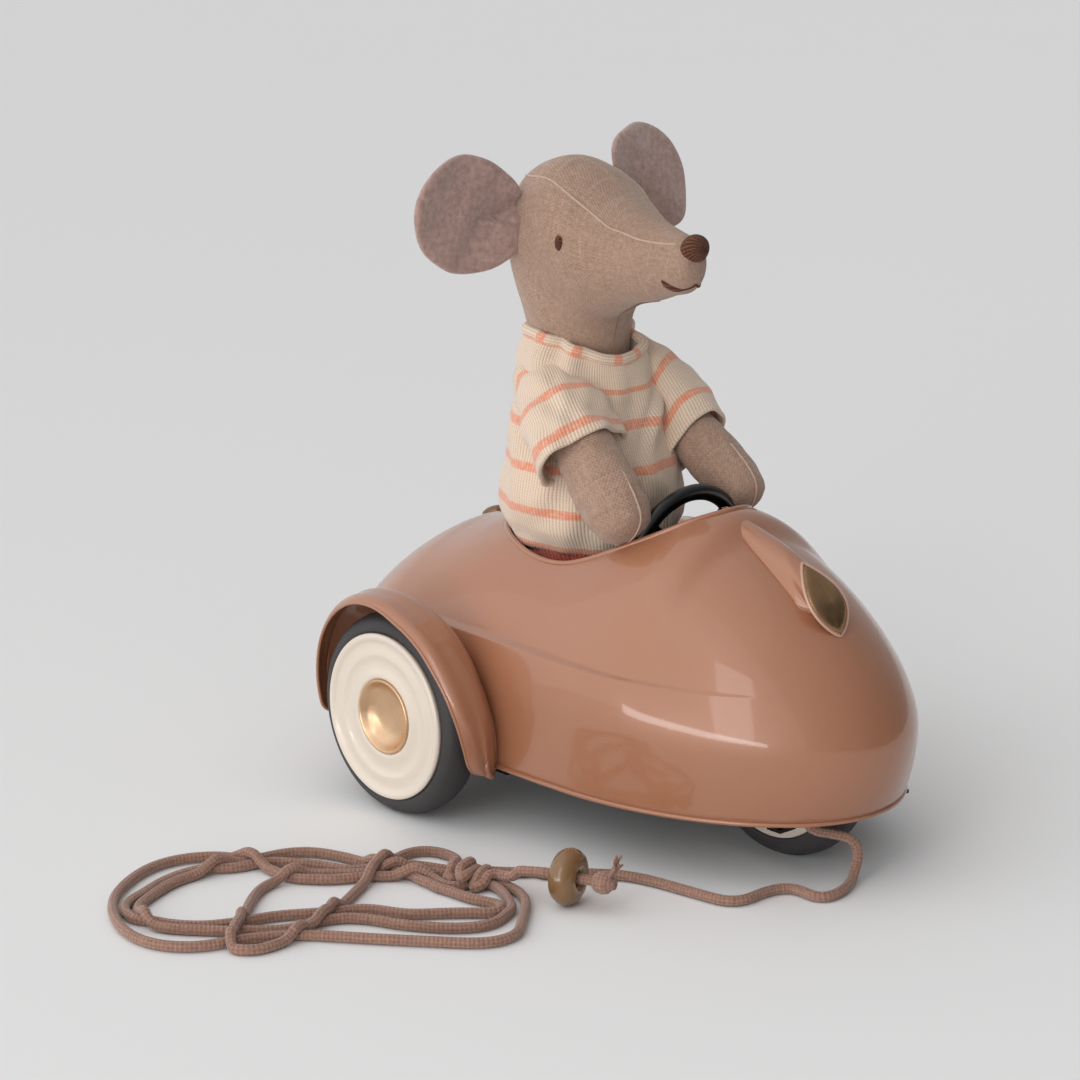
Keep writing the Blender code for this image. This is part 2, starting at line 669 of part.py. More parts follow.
place(filler_cap, BRASS)

eyelet_p = [(1.9, 0.9), (2.3, 0.9), (2.3, -2.0), (3.1, -2.0), (3.1, -2.6), (1.9, -2.6)]
turned("cord_eyelet", down_the_outside(eyelet_p), (*EYE, 18.6), BRASS, "Z", 20)

# ------------------------------------------------------------------------ mouse
# skull and muzzle: sections across x, with their middle height and half sizes
HEAD = (
    (-7.6, 138.0, 6.5, 9.0), (-4.5, 138.0, 10.8, 14.0), (0.5, 137.6, 14.4, 17.8), (7.0, 137.0, 16.3, 19.8),
    (14.0, 136.6, 16.2, 19.6), (20.5, 136.4, 14.4, 17.4), (27.0, 136.8, 11.8, 14.2), (33.5, 137.4, 9.2, 11.0),
    (40.0, 137.9, 6.9, 8.2), (45.5, 138.0, 5.0, 6.2), (49.0, 138.2, 3.2, 4.2),
)
head_rings = [[(-9.2, 0, 138.0)]]
for x, z, w, h in HEAD:
    head_rings.append(oval((x, 0, z), (0, w, 0), (0, 0, h), 16))
head_rings.append([(50.0, 0, 138.3)])
mouse_head = loft("mouse_head", head_rings, LINEN)
neck_rings = [
    oval((x, 0, z), (a, 0, 0), (0, b, 0), 14) for x, z, a, b in ((9.6, 112.8, 11.0, 10.6), (9.6, 118, 11.6, 11.2), (9.5, 126, 13.5, 12.6))
]
boolean(mouse_head, loft("neck", neck_rings, LINEN), "UNION")

bpy.ops.mesh.primitive_uv_sphere_add(segments=14, ring_count=8, radius=3.5 * MM, location=at(53.9, 0, 140.6))
nose = bpy.context.active_object
nose.name = "mouse_nose"
place(nose, BROWN)

for side, label in ((-1, "right"), (1, "left")):
    mid = np.array([1.0, side * 30.3, 145.8])
    face = np.array([math.cos(math.radians(12)), side * -math.sin(math.radians(12)), 0])
    across = np.array([-face[1], face[0], 0]) * side
    rings = [
        oval(mid + face * f, across * 15.2 * s, np.array([0, 0, 14.6]) * s, 24)
        for f, s in ((-1.3, 0.9), (-0.7, 1.0), (0.7, 1.0), (1.3, 0.9))
    ]
    loft("mouse_ear_" + label, rings, FELT)

# body under the clothes, from the seat to the neck
torso = [
    (12.0, 41.2, 10.0, 10.0), (12.5, 46.0, 13.2, 13.4), (13.6, 56, 16.2, 15.2), (14.2, 66, 17.4, 15.8), (14.2, 74, 18.0, 17.2),
    (13.5, 84, 17.0, 15.2), (12.0, 96, 12.8, 10.4), (10.4, 104, 10.6, 8.6), (9.8, 109, 10.0, 9.0), (9.6, 112.2, 10.2, 9.6),
]
mouse_torso = loft("mouse_torso", [oval((x, 0, z), (a, 0, 0), (0, b, 0), 18) for x, z, a, b in torso], LINEN)

# shirt: an open tube round the torso, cut from the outer form
shirt_out = [
    (14.6, 65.6, 20.2, 17.6), (14.6, 70, 21.8, 20.4), (14.4, 76, 22.4, 21.4), (14.0, 84, 21.2, 19.2), (12.8, 93, 17.4, 14.8),
    (11.4, 101, 14.0, 11.8), (10.2, 107, 12.8, 11.4), (9.8, 111, 12.4, 11.6),
]
shirt_in = []
tz = [t[1] for t in torso]
for x, z, a, b in shirt_out:
    ia = float(pchip(tz, [t[2] for t in torso], z)) + 0.9
    ib = float(pchip(tz, [t[3] for t in torso], z)) + 0.9
    ix = float(pchip(tz, [t[0] for t in torso], z))
    shirt_in.append((ix, z, ia, ib))
ro = [oval((x, 0, z), (a, 0, 0), (0, b, 0), 20) for x, z, a, b in shirt_out]
ri = [oval((x, 0, z), (a, 0, 0), (0, b, 0), 20) for x, z, a, b in reversed(shirt_in)]
pts = [tuple(p) for r in ro + ri for p in r]
fcs = grid_faces(len(ro) + len(ri), 20, True)
last = (len(ro) + len(ri) - 1) * 20
fcs += [(last + j, last + (j + 1) % 20, (j + 1) % 20, j) for j in range(20)]
mouse_shirt = mesh_object("mouse_shirt", pts, fcs, KNIT)

shorts_out = [(12.4, 44.5, 14.8, 15.4), (13.2, 52, 17.6, 17.0), (14.2, 60, 19.4, 17.4), (14.6, 64.9, 20.0, 17.4)]
so = [oval((x, 0, z), (a, 0, 0), (0, b, 0), 18) for x, z, a, b in shorts_out]
si = []
for x, z, a, b in reversed(shorts_out):
    si.append(oval((float(pchip(tz, [t[0] for t in torso], z)), 0, z),
                   (float(pchip(tz, [t[2] for t in torso], z)) + 0.9, 0, 0),
                   (0, float(pchip(tz, [t[3] for t in torso], z)) + 0.9, 0), 18))
pts = [tuple(p) for r in so + si for p in r]
fcs = grid_faces(8, 18, True)
fcs += [(7 * 18 + j, 7 * 18 + (j + 1) % 18, (j + 1) % 18, j) for j in range(18)]
mouse_shorts = mesh_object("mouse_shorts", pts, fcs, RED)


def beside_shirt(p, gap):
    """The point, moved out sideways if need be to stand this far off the shirt."""
    x, y, z = p
    hs = [q[1] for q in shirt_out]
    if not hs[0] - 2 < z < hs[-1] + 1:
        return p
    xc, a, b = (float(pchip(hs, [q[i] for q in shirt_out], z)) for i in (0, 2, 3))
    q = 1 - ((x - xc) / (a + gap)) ** 2
    if q > 0 and abs(y) < (b + gap) * math.sqrt(q):
        return np.array([x, math.copysign((b + gap) * math.sqrt(q), y), z])
    return p


SHOULDER = (10.5, 103.0)
for side, label in ((-1, "right"), (1, "left")):
    pivot = (SHOULDER[0], side * 17.6, SHOULDER[1])
    arm = [
        np.array(p, float)
        for p in (
            (13.5, side * 18.6, 101.5), (17.8, side * 19.6, 99.0), (22, side * 20.4, 96.5), (26.5, side * 21.2, 93.8),
            (31, side * 21.6, 91.0), (41, side * 21.4, 84.0), (48.0, side * 21.4, 78.8),
        )
    ]
    d = arm[2] - arm[0]
    d /= np.linalg.norm(d)
    u = np.array([0, 1.0, 0]) - d * d[1]
    u /= np.linalg.norm(u)
    v = np.cross(d, u)
    rings = [[arm[0] - d * 3.2], oval(arm[0] - d * 2.2, u * 2.6, v * 3.6, 14)]
    for p, a, b in zip(arm, (4.2, 4.6, 4.9, 5.2, 5.8, 7.2, 6.4), (5.2, 5.6, 6.0, 6.3, 6.8, 8.0, 7.2)):
        rings.append(oval(p, u * a, v * b, 14))
    rings += [oval(arm[-1] + d * 3.6, u * 4.2, v * 4.6, 14), [arm[-1] + d * 5.4]]
    loft("mouse_arm_" + label, [[beside_shirt(p, 2.9) for p in r] for r in rings], LINEN, pivot)
    # the sleeve is an open tube over the upper arm, pressed flat against the shirt
    so, si = [], []
    for p, a, b in zip(arm[:5], (6.0, 6.6, 7.2, 7.8, 8.4), (8.6, 9.0, 9.5, 10.1, 10.6)):
        so.append([beside_shirt(q, 0.9) for q in oval(p + np.array([0, side * 0.8, 0]), u * a, v * b, 14)])
    for p, a, b in zip(arm[4::-1], (6.5, 6.1, 5.8, 5.5, 5.1), (7.5, 7.2, 6.9, 6.5, 6.1)):
        si.append([beside_shirt(q, 2.1) for q in oval(p, u * a, v * b, 14)])
    pts = [tuple(p) for r in so + si for p in r]
    fcs = grid_faces(10, 14, True)
    fcs += [(9 * 14 + j, 9 * 14 + (j + 1) % 14, (j + 1) % 14, j) for j in range(14)]
    mesh_object("shirt_sleeve_" + label, pts, fcs, KNIT, pivot)

    shin = [(35.4, side * 9.6, 47.0), (35.0, side * 9.6, 41.0), (34.6, side * 9.6, 34.0), (34.6, side * 9.6, 28.0)]
    capsule("mouse_leg_" + label, shin, (4.9, 5.6, 5.4, 5.0), LINEN, 12)

tail = through(((-6.4, 2, 50.5), (-8.2, 8, 47.0), (-5.8, 14, 43.6), (2, 18.6, 42.2), (10, 20.4, 42.0)), 3.0)
wire("mouse_tail", tail, 1.2, LINEN)

# ------------------------------------------------------------------------- cord
LEAD = (
    (*EYE, 21.0), (*EYE, 18.5), (*EYE, 15.8), (103.0, -11.2, 13.4), (105.0, -7.4, 12.0), (107.4, -3.6, 10.6), (108.4, -1.8, 8.0), (108.8, -2.2, 4.6), (110.4, -5.4, 2.0),
    (113.2, -10.5, 1.45), (114.4, -16.0, 1.45), (113.2, -19.2, 1.45), (109.6, -19.2, 1.45), (105.4, -18.9, 1.45), (102.8, -21.4, 1.45),
    (102.2, -26.9, 1.45), (103.0, -33.0, 1.45), (100.8, -36.6, 1.45), (95.7, -37.6, 1.45), (88.6, -38.7, 1.45),
    (78.8, -40.3, 1.45), (71.9, -42.9, 1.45), (66.9, -47.2, 1.45), (62.8, -52.4, 1.45), (58.4, -56.9, 1.45), (54.9, -61.0, 1.45),
)
lead = through(LEAD, 3.2)
wire("cord_lead", lead, CORD_R, CORD)

HANK = (
    (8.4, -143.5), (-2.1, -131.0), (-8.6, -116.1), (-3.0, -99.6), (12.7, -81.9), (27.0, -66.5), (37.5, -61.5),
    (47.0, -63.6), (54.0, -72.6), (63.0, -76.4), (76.0, -80.0), (87.0, -87.5), (88.1, -96.4), (72.8, -110.5), (59.5, -128.2), (52.5, -139.6), (39.3, -149.0),
    (23.7, -149.9),
)
loop = through([(x, y, 0) for x, y in HANK], 7.0, closed=True)
middle = loop.mean(axis=0)
cord_hank = loft(
    "cord_hank",
    [
        [tuple(middle + (p - middle) * s + np.array([0, 0, z])) for p in loop]
        for z, s in ((0.1, 0.975), (1.2, 1.0), (4.2, 1.0), (5.4, 0.97))
    ],
    CORD,
)

# the horn-brown bead and the knots at the cord's end
ALONG = np.array([0.93, 0.37, 0])
ALONG = ALONG / np.linalg.norm(ALONG)
BEAD = np.array([75.6, -62.6, 6.85])
bead_p = [(1.8, 2.4), (3.4, 3.3), (5.4, 2.6), (6.6, 1.1), (6.75, 0), (6.6, -1.1), (5.4, -2.6), (3.4, -3.3), (1.8, -2.4)]
cord_bead = turned("cord_bead", down_the_outside(bead_p), tuple(BEAD), BRASS, "Z", 24)
cord_bead.rotation_euler = Vector(ALONG).to_track_quat("Z", "Y").to_euler()
line_a, line_b = BEAD - ALONG * 15.0, BEAD + ALONG * 5.6
wire(
    "cord_bead_line",
    [tuple(line_a + (line_b - line_a) * t + np.array([0, 0, -1.6 * (1 - t) ** 2])) for t in np.linspace(0, 1, 9)],
    CORD_R * 0.9,
    CORD,
)
knot_at = BEAD + ALONG * (5.6 + GAP + 2.9)
cord_stop_knot = loft(
    "cord_stop_knot",
    [[tuple(knot_at - ALONG * 2.9)]]
    + [
        oval(knot_at + ALONG * h, np.array([-ALONG[1], ALONG[0], 0]) * r, np.array([0, 0, r]), 12)
        for h, r in ((-2.5, 1.6), (-1.2, 2.7), (0.4, 3.0), (1.8, 2.5), (2.8, 1.4), (4.2, 1.2), (7.0, 1.3), (10.0, 1.7))
    ],
    CORD,
)
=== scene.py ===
"""Looks for the tin three-wheeler and its cloth mouse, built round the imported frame.

Lengths below are millimetres in the working frame of the car: x from the rear axle
towards the nose, y from the centreline, z from the ground. at() gives metres.
"""
import math

import bmesh
import bpy
import numpy as np
from mathutils import Matrix, Vector


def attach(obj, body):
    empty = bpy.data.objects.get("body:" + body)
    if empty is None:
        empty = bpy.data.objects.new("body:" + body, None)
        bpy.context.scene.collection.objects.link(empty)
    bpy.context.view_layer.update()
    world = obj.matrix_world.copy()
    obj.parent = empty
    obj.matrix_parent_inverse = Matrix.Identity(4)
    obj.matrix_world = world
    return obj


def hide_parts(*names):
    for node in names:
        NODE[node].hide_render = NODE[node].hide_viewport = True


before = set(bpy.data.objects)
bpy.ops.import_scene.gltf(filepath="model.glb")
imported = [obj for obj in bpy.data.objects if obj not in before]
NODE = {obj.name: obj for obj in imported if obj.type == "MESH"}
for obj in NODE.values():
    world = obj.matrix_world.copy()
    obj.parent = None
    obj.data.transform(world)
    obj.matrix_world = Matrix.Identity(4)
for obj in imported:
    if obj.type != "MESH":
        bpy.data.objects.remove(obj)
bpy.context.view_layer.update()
MID_X = 31.5


def at(p):
    return ((p[0] - MID_X) * 0.001, p[1] * 0.001, p[2] * 0.001)


# ------------------------------------------------------------------- camera
camera = bpy.data.objects.new("camera", bpy.data.cameras.new("camera"))
bpy.context.scene.collection.objects.link(camera)
camera.data.lens = 137.4
camera.data.sensor_width = 36.0
camera.data.clip_end = 20
back = Vector((0.7177, -0.6409, 0.2724)).normalized()
aim = Vector(at((14.77, -17.0, 65.465)))
camera.location = aim + back * 1.0
camera.rotation_euler = back.to_track_quat("Z", "Y").to_euler()
bpy.context.scene.camera = camera

# ------------------------------------------------------------------ materials


def srgb(r, g, b):
    out = []
    for c in (r, g, b):
        c /= 255.0
        out.append(c / 12.92 if c <= 0.04045 else ((c + 0.055) / 1.055) ** 2.4)
    return (*out, 1.0)


class Nodes:
    def __init__(self, name):
        self.mat = bpy.data.materials.new(name)
        self.mat.use_nodes = True
        self.t = self.mat.node_tree
        self.p = self.t.nodes["Principled BSDF"]

    def add(self, kind, **kw):
        n = self.t.nodes.new(kind)
        for k, v in kw.items():
            setattr(n, k, v)
        return n

    def link(self, a, b):
        self.t.links.new(a, b)

    def put(self, **kw):
        for k, v in kw.items():
            self.p.inputs[k.replace("_", " ")].default_value = v

    def math(self, op, a, b=None):
        n = self.add("ShaderNodeMath", operation=op)
        for i, v in enumerate((a, b)):
            if v is None:
                continue
            if isinstance(v, (int, float)):
                n.inputs[i].default_value = v
            else:
                self.link(v, n.inputs[i])
        return n.outputs[0]

    def ramp(self, fac, *stops):
        n = self.add("ShaderNodeValToRGB")
        r = n.color_ramp
        while len(r.elements) < len(stops):
            r.elements.new(0.5)
        for e, (p, c) in zip(r.elements, stops):
            e.position = p
            e.color = c
        self.link(fac, n.inputs[0])
        return n.outputs[0]

    def mix(self, fac, a, b, blend="MIX"):
        n = self.add("ShaderNodeMix", data_type="RGBA", blend_type=blend)
        for i, v in ((0, fac), (6, a), (7, b)):
            if isinstance(v, (int, float, tuple)):
                n.inputs[i].default_value = v
            else:
                self.link(v, n.inputs[i])
        return n.outputs[2]

    def coord(self, which="Object"):
        return self.add("ShaderNodeTexCoord").outputs[which]

    def uv(self):
        return self.add("ShaderNodeUVMap", uv_map="mm").outputs[0]

    def noise(self, vec, scale, detail=3.0, rough=0.55, stretch=None):
        if stretch:
            m = self.add("ShaderNodeMapping")
            m.inputs["Scale"].default_value = stretch
            self.link(vec, m.inputs["Vector"])
            vec = m.outputs[0]
        n = self.add("ShaderNodeTexNoise")
        n.inputs["Scale"].default_value = scale
        n.inputs["Detail"].default_value = detail
        n.inputs["Roughness"].default_value = rough
        self.link(vec, n.inputs["Vector"])
        return n.outputs["Fac"]

    def bump(self, height, strength, distance):
        n = self.add("ShaderNodeBump")
        n.inputs["Strength"].default_value = strength
        n.inputs["Distance"].default_value = distance
        self.link(height, n.inputs["Height"])
        if self.p.inputs["Normal"].links:
            self.link(self.p.inputs["Normal"].links[0].from_socket, n.inputs["Normal"])
        self.link(n.outputs[0], self.p.inputs["Normal"])


def lacquer(name, mid, dark, metallic=0.45, rough=0.36):
    n = Nodes(name)
    co = n.coord()
    broad = n.noise(co, 22, 3)
    fine = n.noise(co, 900, 2)
    col = n.mix(n.math("MULTIPLY", broad, 0.5), mid, dark)
    n.link(n.mix(n.math("MULTIPLY", fine, 0.12), col, dark), n.p.inputs["Base Color"])
    n.put(Metallic=metallic, Coat_Weight=0.8, Coat_Roughness=0.07)
    n.link(n.ramp(n.noise(co, 160, 4), (0.3, (rough - 0.05,) * 3 + (1,)), (0.75, (rough + 0.08,) * 3 + (1,))), n.p.inputs["Roughness"])
    n.bump(n.noise(co, 60, 2), 0.06, 0.0006)
    n.bump(fine, 0.03, 0.0002)
    return n.mat


def metal(name, colour, dark, rough=0.25, scratch=0.3):
    n = Nodes(name)
    co = n.coord()
    tone = n.noise(co, 120, 4)
    n.link(n.mix(tone, colour, dark), n.p.inputs["Base Color"])
    n.put(Metallic=1.0)
    n.link(n.ramp(n.noise(co, 400, 3), (0.3, (rough * 0.7,) * 3 + (1,)), (0.8, (rough * 1.5,) * 3 + (1,))), n.p.inputs["Roughness"])
    n.bump(n.noise(co, 700, 2), 0.05 * scratch / 0.3, 0.0002)
    return n.mat


def plastic(name, colour, rough, coat=0.0, grain=500, bump=0.1, tint=None):
    n = Nodes(name)
    co = n.coord()
    n.link(n.mix(n.noise(co, 90, 4), colour, tint or tuple(c * 0.75 for c in colour[:3]) + (1,)), n.p.inputs["Base Color"])
    n.put(Roughness=rough, Coat_Weight=coat, Coat_Roughness=0.08)
    n.bump(n.noise(co, grain, 3), bump, 0.0003)
    return n.mat


def cloth(name, light, dark, pitch=0.00075, turn=0.0, relief=0.5, fuzz=0.4, twill=False, slub=0.6, warp_tint=0.5, pale=None):
    """Woven cloth: two sets of threads that pass over and under each other."""
    n = Nodes(name)
    uv = n.uv()
    m = n.add("ShaderNodeMapping")
    m.inputs["Rotation"].default_value = (0, 0, turn)
    m.inputs["Scale"].default_value = (1 / pitch, 1 / pitch, 1)
    n.link(uv, m.inputs["Vector"])
    s = n.add("ShaderNodeSeparateXYZ")
    n.link(m.outputs[0], s.inputs[0])
    wob = n.noise(uv, 260, 2)
    a = n.math("ADD", s.outputs[0], n.math("MULTIPLY", wob, 0.9))
    b = n.math("ADD", s.outputs[1], n.math("MULTIPLY", wob, 0.9))
    if twill:
        d = n.math("SINE", n.math("MULTIPLY", n.math("ADD", a, b), math.pi))
        h = n.math("ADD", n.math("MULTIPLY", d, 0.5), 0.5)
    else:
        sa = n.math("SINE", n.math("MULTIPLY", a, math.pi))
        sb = n.math("SINE", n.math("MULTIPLY", b, math.pi))
        over = n.math("MULTIPLY", sa, sb)
        h = n.math("ADD", n.math("MULTIPLY", over, 0.5), 0.5)
    slub_u = n.noise(uv, 1.0, 3, 0.6, (220, 1400, 1))
    slub_v = n.noise(uv, 1.0, 3, 0.6, (1400, 220, 1))
    tone = n.math("ADD", n.math("MULTIPLY", slub_u, 0.5), n.math("MULTIPLY", slub_v, 0.5))
    tone = n.math("ADD", n.math("MULTIPLY", tone, slub), n.math("MULTIPLY", h, warp_tint))
    tone = n.math("ADD", tone, n.math("MULTIPLY", n.math("SUBTRACT", n.noise(n.coord(), 1500, 2, 0.6), 0.5), 0.7))
    col = n.ramp(tone, (0.2, dark), (0.8, light))
    if pale:
        for way in ((45, 2300, 1), (2300, 45, 1)):
            thick = n.ramp(n.noise(uv, 1.0, 0, 0.5, way), (0.66, (0, 0, 0, 1)), (0.72, (1, 1, 1, 1)))
            col = n.mix(n.math("MULTIPLY", thick, 0.16), col, pale)
    patch = n.noise(n.coord(), 30, 3)
    col = n.mix(n.math("MULTIPLY", patch, 0.28), col, dark)
    n.link(col, n.p.inputs["Base Color"])
    n.put(Roughness=0.92, Sheen_Weight=fuzz, Sheen_Roughness=0.5, Specular_IOR_Level=0.25)
    n.bump(n.noise(n.coord(), 45, 3), 0.25, 0.0012)
    n.bump(h, relief, 0.00035)
    n.bump(tone, 0.4, 0.0003)
    return n.mat


def felt(name, light, dark):
    n = Nodes(name)
    co = n.coord()
    a, b = n.noise(co, 700, 5, 0.7), n.noise(co, 60, 3)
    n.link(n.mix(n.math("MULTIPLY", b, 0.4), n.ramp(a, (0.3, dark), (0.7, light)), dark), n.p.inputs["Base Color"])
    n.put(Roughness=0.97, Sheen_Weight=0.5, Sheen_Roughness=0.6, Specular_IOR_Level=0.15)
    n.bump(a, 0.5, 0.0005)
    n.bump(b, 0.3, 0.0012)
    return n.mat


def knit(name, ground, furrow_painted_shade, stripe, pitch=0.0101, phase=0.0, rib=0.00105):
    """Rib knit: columns of stitches round the garment, with dotted stripes across them."""
    n = Nodes(name)
    uv = n.uv()
    s = n.add("ShaderNodeSeparateXYZ")
    n.link(uv, s.inputs[0])
    wob = n.math("MULTIPLY", n.noise(uv, 90, 2), 0.0007)
    u = n.math("ADD", s.outputs[0], wob)
    v = n.math("ADD", s.outputs[1], n.math("MULTIPLY", n.noise(uv, 140, 2), 0.0008))
    col_h = n.math("ABSOLUTE", n.math("SINE", n.math("MULTIPLY", u, math.pi / rib)))
    row_h = n.math("ABSOLUTE", n.math("SINE", n.math("MULTIPLY", v, math.pi / (rib * 0.8))))
    h = n.math("ADD", n.math("MULTIPLY", col_h, 0.75), n.math("MULTIPLY", row_h, 0.25))
    f = n.math("FRACT", n.math("ADD", n.math("DIVIDE", v, pitch), phase))
    band = n.math("ABSOLUTE", n.math("SUBTRACT", f, 0.5))
    on = n.ramp(band, (0.085, (1, 1, 1, 1)), (0.12, (0, 0, 0, 1)))
    speck = n.ramp(n.noise(uv, 900, 3, 0.7), (0.3, (0.35, 0.35, 0.35, 1)), (0.62, (1, 1, 1, 1)))
    # the furrows between the ribs get the darker colour, and the stripe darkens there too: painted shade in the rib
    # furrows
    base = n.ramp(h, (0.05, furrow_painted_shade), (0.7, ground))
    tint = n.mix(n.math("MULTIPLY", n.math("SUBTRACT", 1.0, h), 0.45), stripe, tuple(c * 0.5 for c in stripe[:3]) + (1,))
    fac = n.math("MULTIPLY", n.math("MULTIPLY", on, speck), 0.86)
    n.link(n.mix(fac, base, tint), n.p.inputs["Base Color"])
    n.put(Roughness=0.95, Sheen_Weight=0.45, Sheen_Roughness=0.5, Specular_IOR_Level=0.2)
    n.bump(n.noise(n.coord(), 40, 3), 0.3, 0.0015)
    n.bump(h, 0.45, 0.0004)
    n.bump(n.noise(uv, 1500, 2, 0.7), 0.35, 0.0003)
    return n.mat


PAINT = lacquer("pink_lacquer", srgb(171, 115, 84), srgb(150, 99, 72), 0.08, 0.36)
CREAM = lacquer("cream_lacquer", srgb(226, 213, 198), srgb(212, 197, 180), 0.05, 0.34)
BRASS = metal("brass", srgb(230, 196, 162), srgb(204, 168, 132), 0.36)
CAP = metal("brown_brass", srgb(150, 120, 94), srgb(112, 88, 68), 0.36)
LENS = metal("lens_brass", srgb(186, 150, 112), srgb(104, 78, 56), 0.27)
# paler lacquer for the lip round the lens: a painted highlight on the rim's edge, not a different finish
LIP = lacquer("lip_lacquer_painted_highlight", srgb(204, 164, 142), srgb(180, 136, 112), 0.12, 0.36)
BEAD = plastic("bead_horn", srgb(146, 108, 66), 0.25, 0.5, 300, 0.15, srgb(96, 66, 36))
DARK = metal("japanned_steel", srgb(52, 46, 44), srgb(30, 26, 25), 0.45)
STEEL = metal("bright_steel", srgb(196, 194, 190), srgb(150, 148, 145), 0.3)
TYRE = plastic("tyre_rubber", srgb(62, 58, 59), 0.6, 0.0, 900, 0.3, srgb(46, 43, 44))
BLACK = plastic("black_gloss", srgb(13, 13, 15), 0.28, 0.25, 200, 0.05, srgb(9, 9, 11))
LINEN = cloth("greige_linen", srgb(194, 161, 140), srgb(141, 112, 95), 0.00052, 0.0, 0.35, 0.3, False, 0.8, 0.16, srgb(214, 188, 168))
# raised seams are coloured paler than the linen: a painted highlight along each ridge
RIDGE = felt("ridge_linen_painted_highlight", srgb(206, 178, 158), srgb(176, 146, 127))
FELT = felt("mauve_felt", srgb(192, 158, 149), srgb(136, 107, 98))
THREAD = cloth("brown_thread", srgb(124, 80, 60), srgb(64, 38, 28), 0.0007, 0.4, 0.6, 0.05, True)
# the second colour is the painted shade of the rib furrows, not a second yarn
KNIT = knit("striped_knit", srgb(228, 205, 183), srgb(190, 164, 141), srgb(238, 132, 92), 0.0104, 0.0, 0.0009)
RED = cloth("red_twill", srgb(214, 104, 84), srgb(160, 62, 52), 0.0007, 0.3, 0.5, 0.3, True)
CORD = cloth("taupe_braid", srgb(180, 140, 121), srgb(128, 95, 81), 0.0007, math.pi / 4, 0.5, 0.3, False, 0.6, 0.34)
SEAM = plastic("seam_thread", srgb(150, 122, 106), 0.95, 0.0, 900, 0.5, srgb(124, 98, 84))

for names, m in (
    ("headlight_lens", LENS), ("filler_cap", CAP), ("cord_eyelet", BRASS),
    ("floor_pan rear_axle_bracket_right rear_axle_bracket_left front_axle_bracket_right front_axle_bracket_left seat_pan dashboard", DARK),
    ("column_bush", BLACK), ("rear_axle front_axle steering_column", STEEL),
):
    for nm in names.split():
        NODE[nm].data.materials.clear()
        NODE[nm].data.materials.append(m)

# -------------------------------------------------------------------- helpers


def finish_mesh(name, pts, faces, mat, uv=None, body=None, replaces=(), smooth=True, fix=True):
    mesh = bpy.data.meshes.new(name)
    mesh.from_pydata([at(p) for p in pts], [], faces)
    if uv is not None:
        layer = mesh.uv_layers.new(name="mm")
        flat = np.array(uv, float).reshape(-1, 2) * 0.001
        idx = np.zeros(len(mesh.loops), int)
        mesh.loops.foreach_get("vertex_index", idx)
        layer.data.foreach_set("uv", flat[idx].ravel())
    mesh.materials.append(mat)
    obj = bpy.data.objects.new(name, mesh)
    bpy.context.scene.collection.objects.link(obj)
    if fix:
        bm = bmesh.new()
        bm.from_mesh(mesh)
        bmesh.ops.remove_doubles(bm, verts=bm.verts, dist=1e-7)
        bmesh.ops.recalc_face_normals(bm, faces=bm.faces)
        bm.to_mesh(mesh)
        bm.free()
    if smooth:
        mesh.shade_smooth()
    if body:
        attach(obj, body)
    if replaces:
        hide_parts(*replaces)
    return obj


def grid(rows, closed=True, seam_uv=True):
    """Faces and millimetre UVs of a grid of points. Closed rows get one repeated column, so that the UVs don't fold back."""
    R = [np.array(r, float) for r in rows]
    if closed:
        R = [np.vstack([r, r[:1]]) for r in R]
    n, m = len(R), len(R[0])
    pts = np.vstack(R)
    lens = np.array([np.concatenate([[0], np.cumsum(np.linalg.norm(np.diff(r, axis=0), axis=1))]) for r in R])
    widest = lens[np.argmax(lens[:, -1])]
    u = np.repeat(widest[None, :], n, axis=0)
    mid = np.array([r.mean(0) for r in R])
    step = [0.0]
    for i in range(1, n):
        step.append(step[-1] + float(np.median(np.linalg.norm(R[i] - R[i - 1], axis=1))))
    v = np.repeat(np.array(step)[:, None], m, axis=1)
    faces = [
        (i * m + j, i * m + j + 1, (i + 1) * m + j + 1, (i + 1) * m + j) for i in range(n - 1) for j in range(m - 1)
    ]
    return pts, faces, np.stack([u.ravel(), v.ravel()], 1)


def oval(c, u, v, n=48, power=2.0):
    c, u, v = (np.array(q, float) for q in (c, u, v))
    t = np.linspace(0, 2 * math.pi, n, endpoint=False)
    e = 2.0 / power
    a = np.sign(np.cos(t)) * np.abs(np.cos(t)) ** e
    b = np.sign(np.sin(t)) * np.abs(np.sin(t)) ** e
    return c + np.outer(a, u) + np.outer(b, v)


def pchip(xs, ys, x):
    xs, ys, x = (np.asarray(q, float) for q in (xs, ys, x))
    h, m = np.diff(xs), np.zeros(len(xs))
    d = np.diff(ys) / h
    m[0], m[-1] = d[0], d[-1]
    for i in range(1, len(xs) - 1):
        if d[i - 1] * d[i] > 0:
            a, b = 2 * h[i] + h[i - 1], h[i] + 2 * h[i - 1]
            m[i] = (a + b) / (a / d[i - 1] + b / d[i])
    x = np.clip(x, xs[0], xs[-1])
    k = np.clip(np.searchsorted(xs, x, side="right") - 1, 0, len(xs) - 2)
    t = (x - xs[k]) / h[k]
    return (2 * t**3 - 3 * t**2 + 1) * ys[k] + (t**3 - 2 * t**2 + t) * h[k] * m[k] + (-2 * t**3 + 3 * t**2) * ys[k + 1] + (t**3 - t**2) * h[k] * m[k + 1]


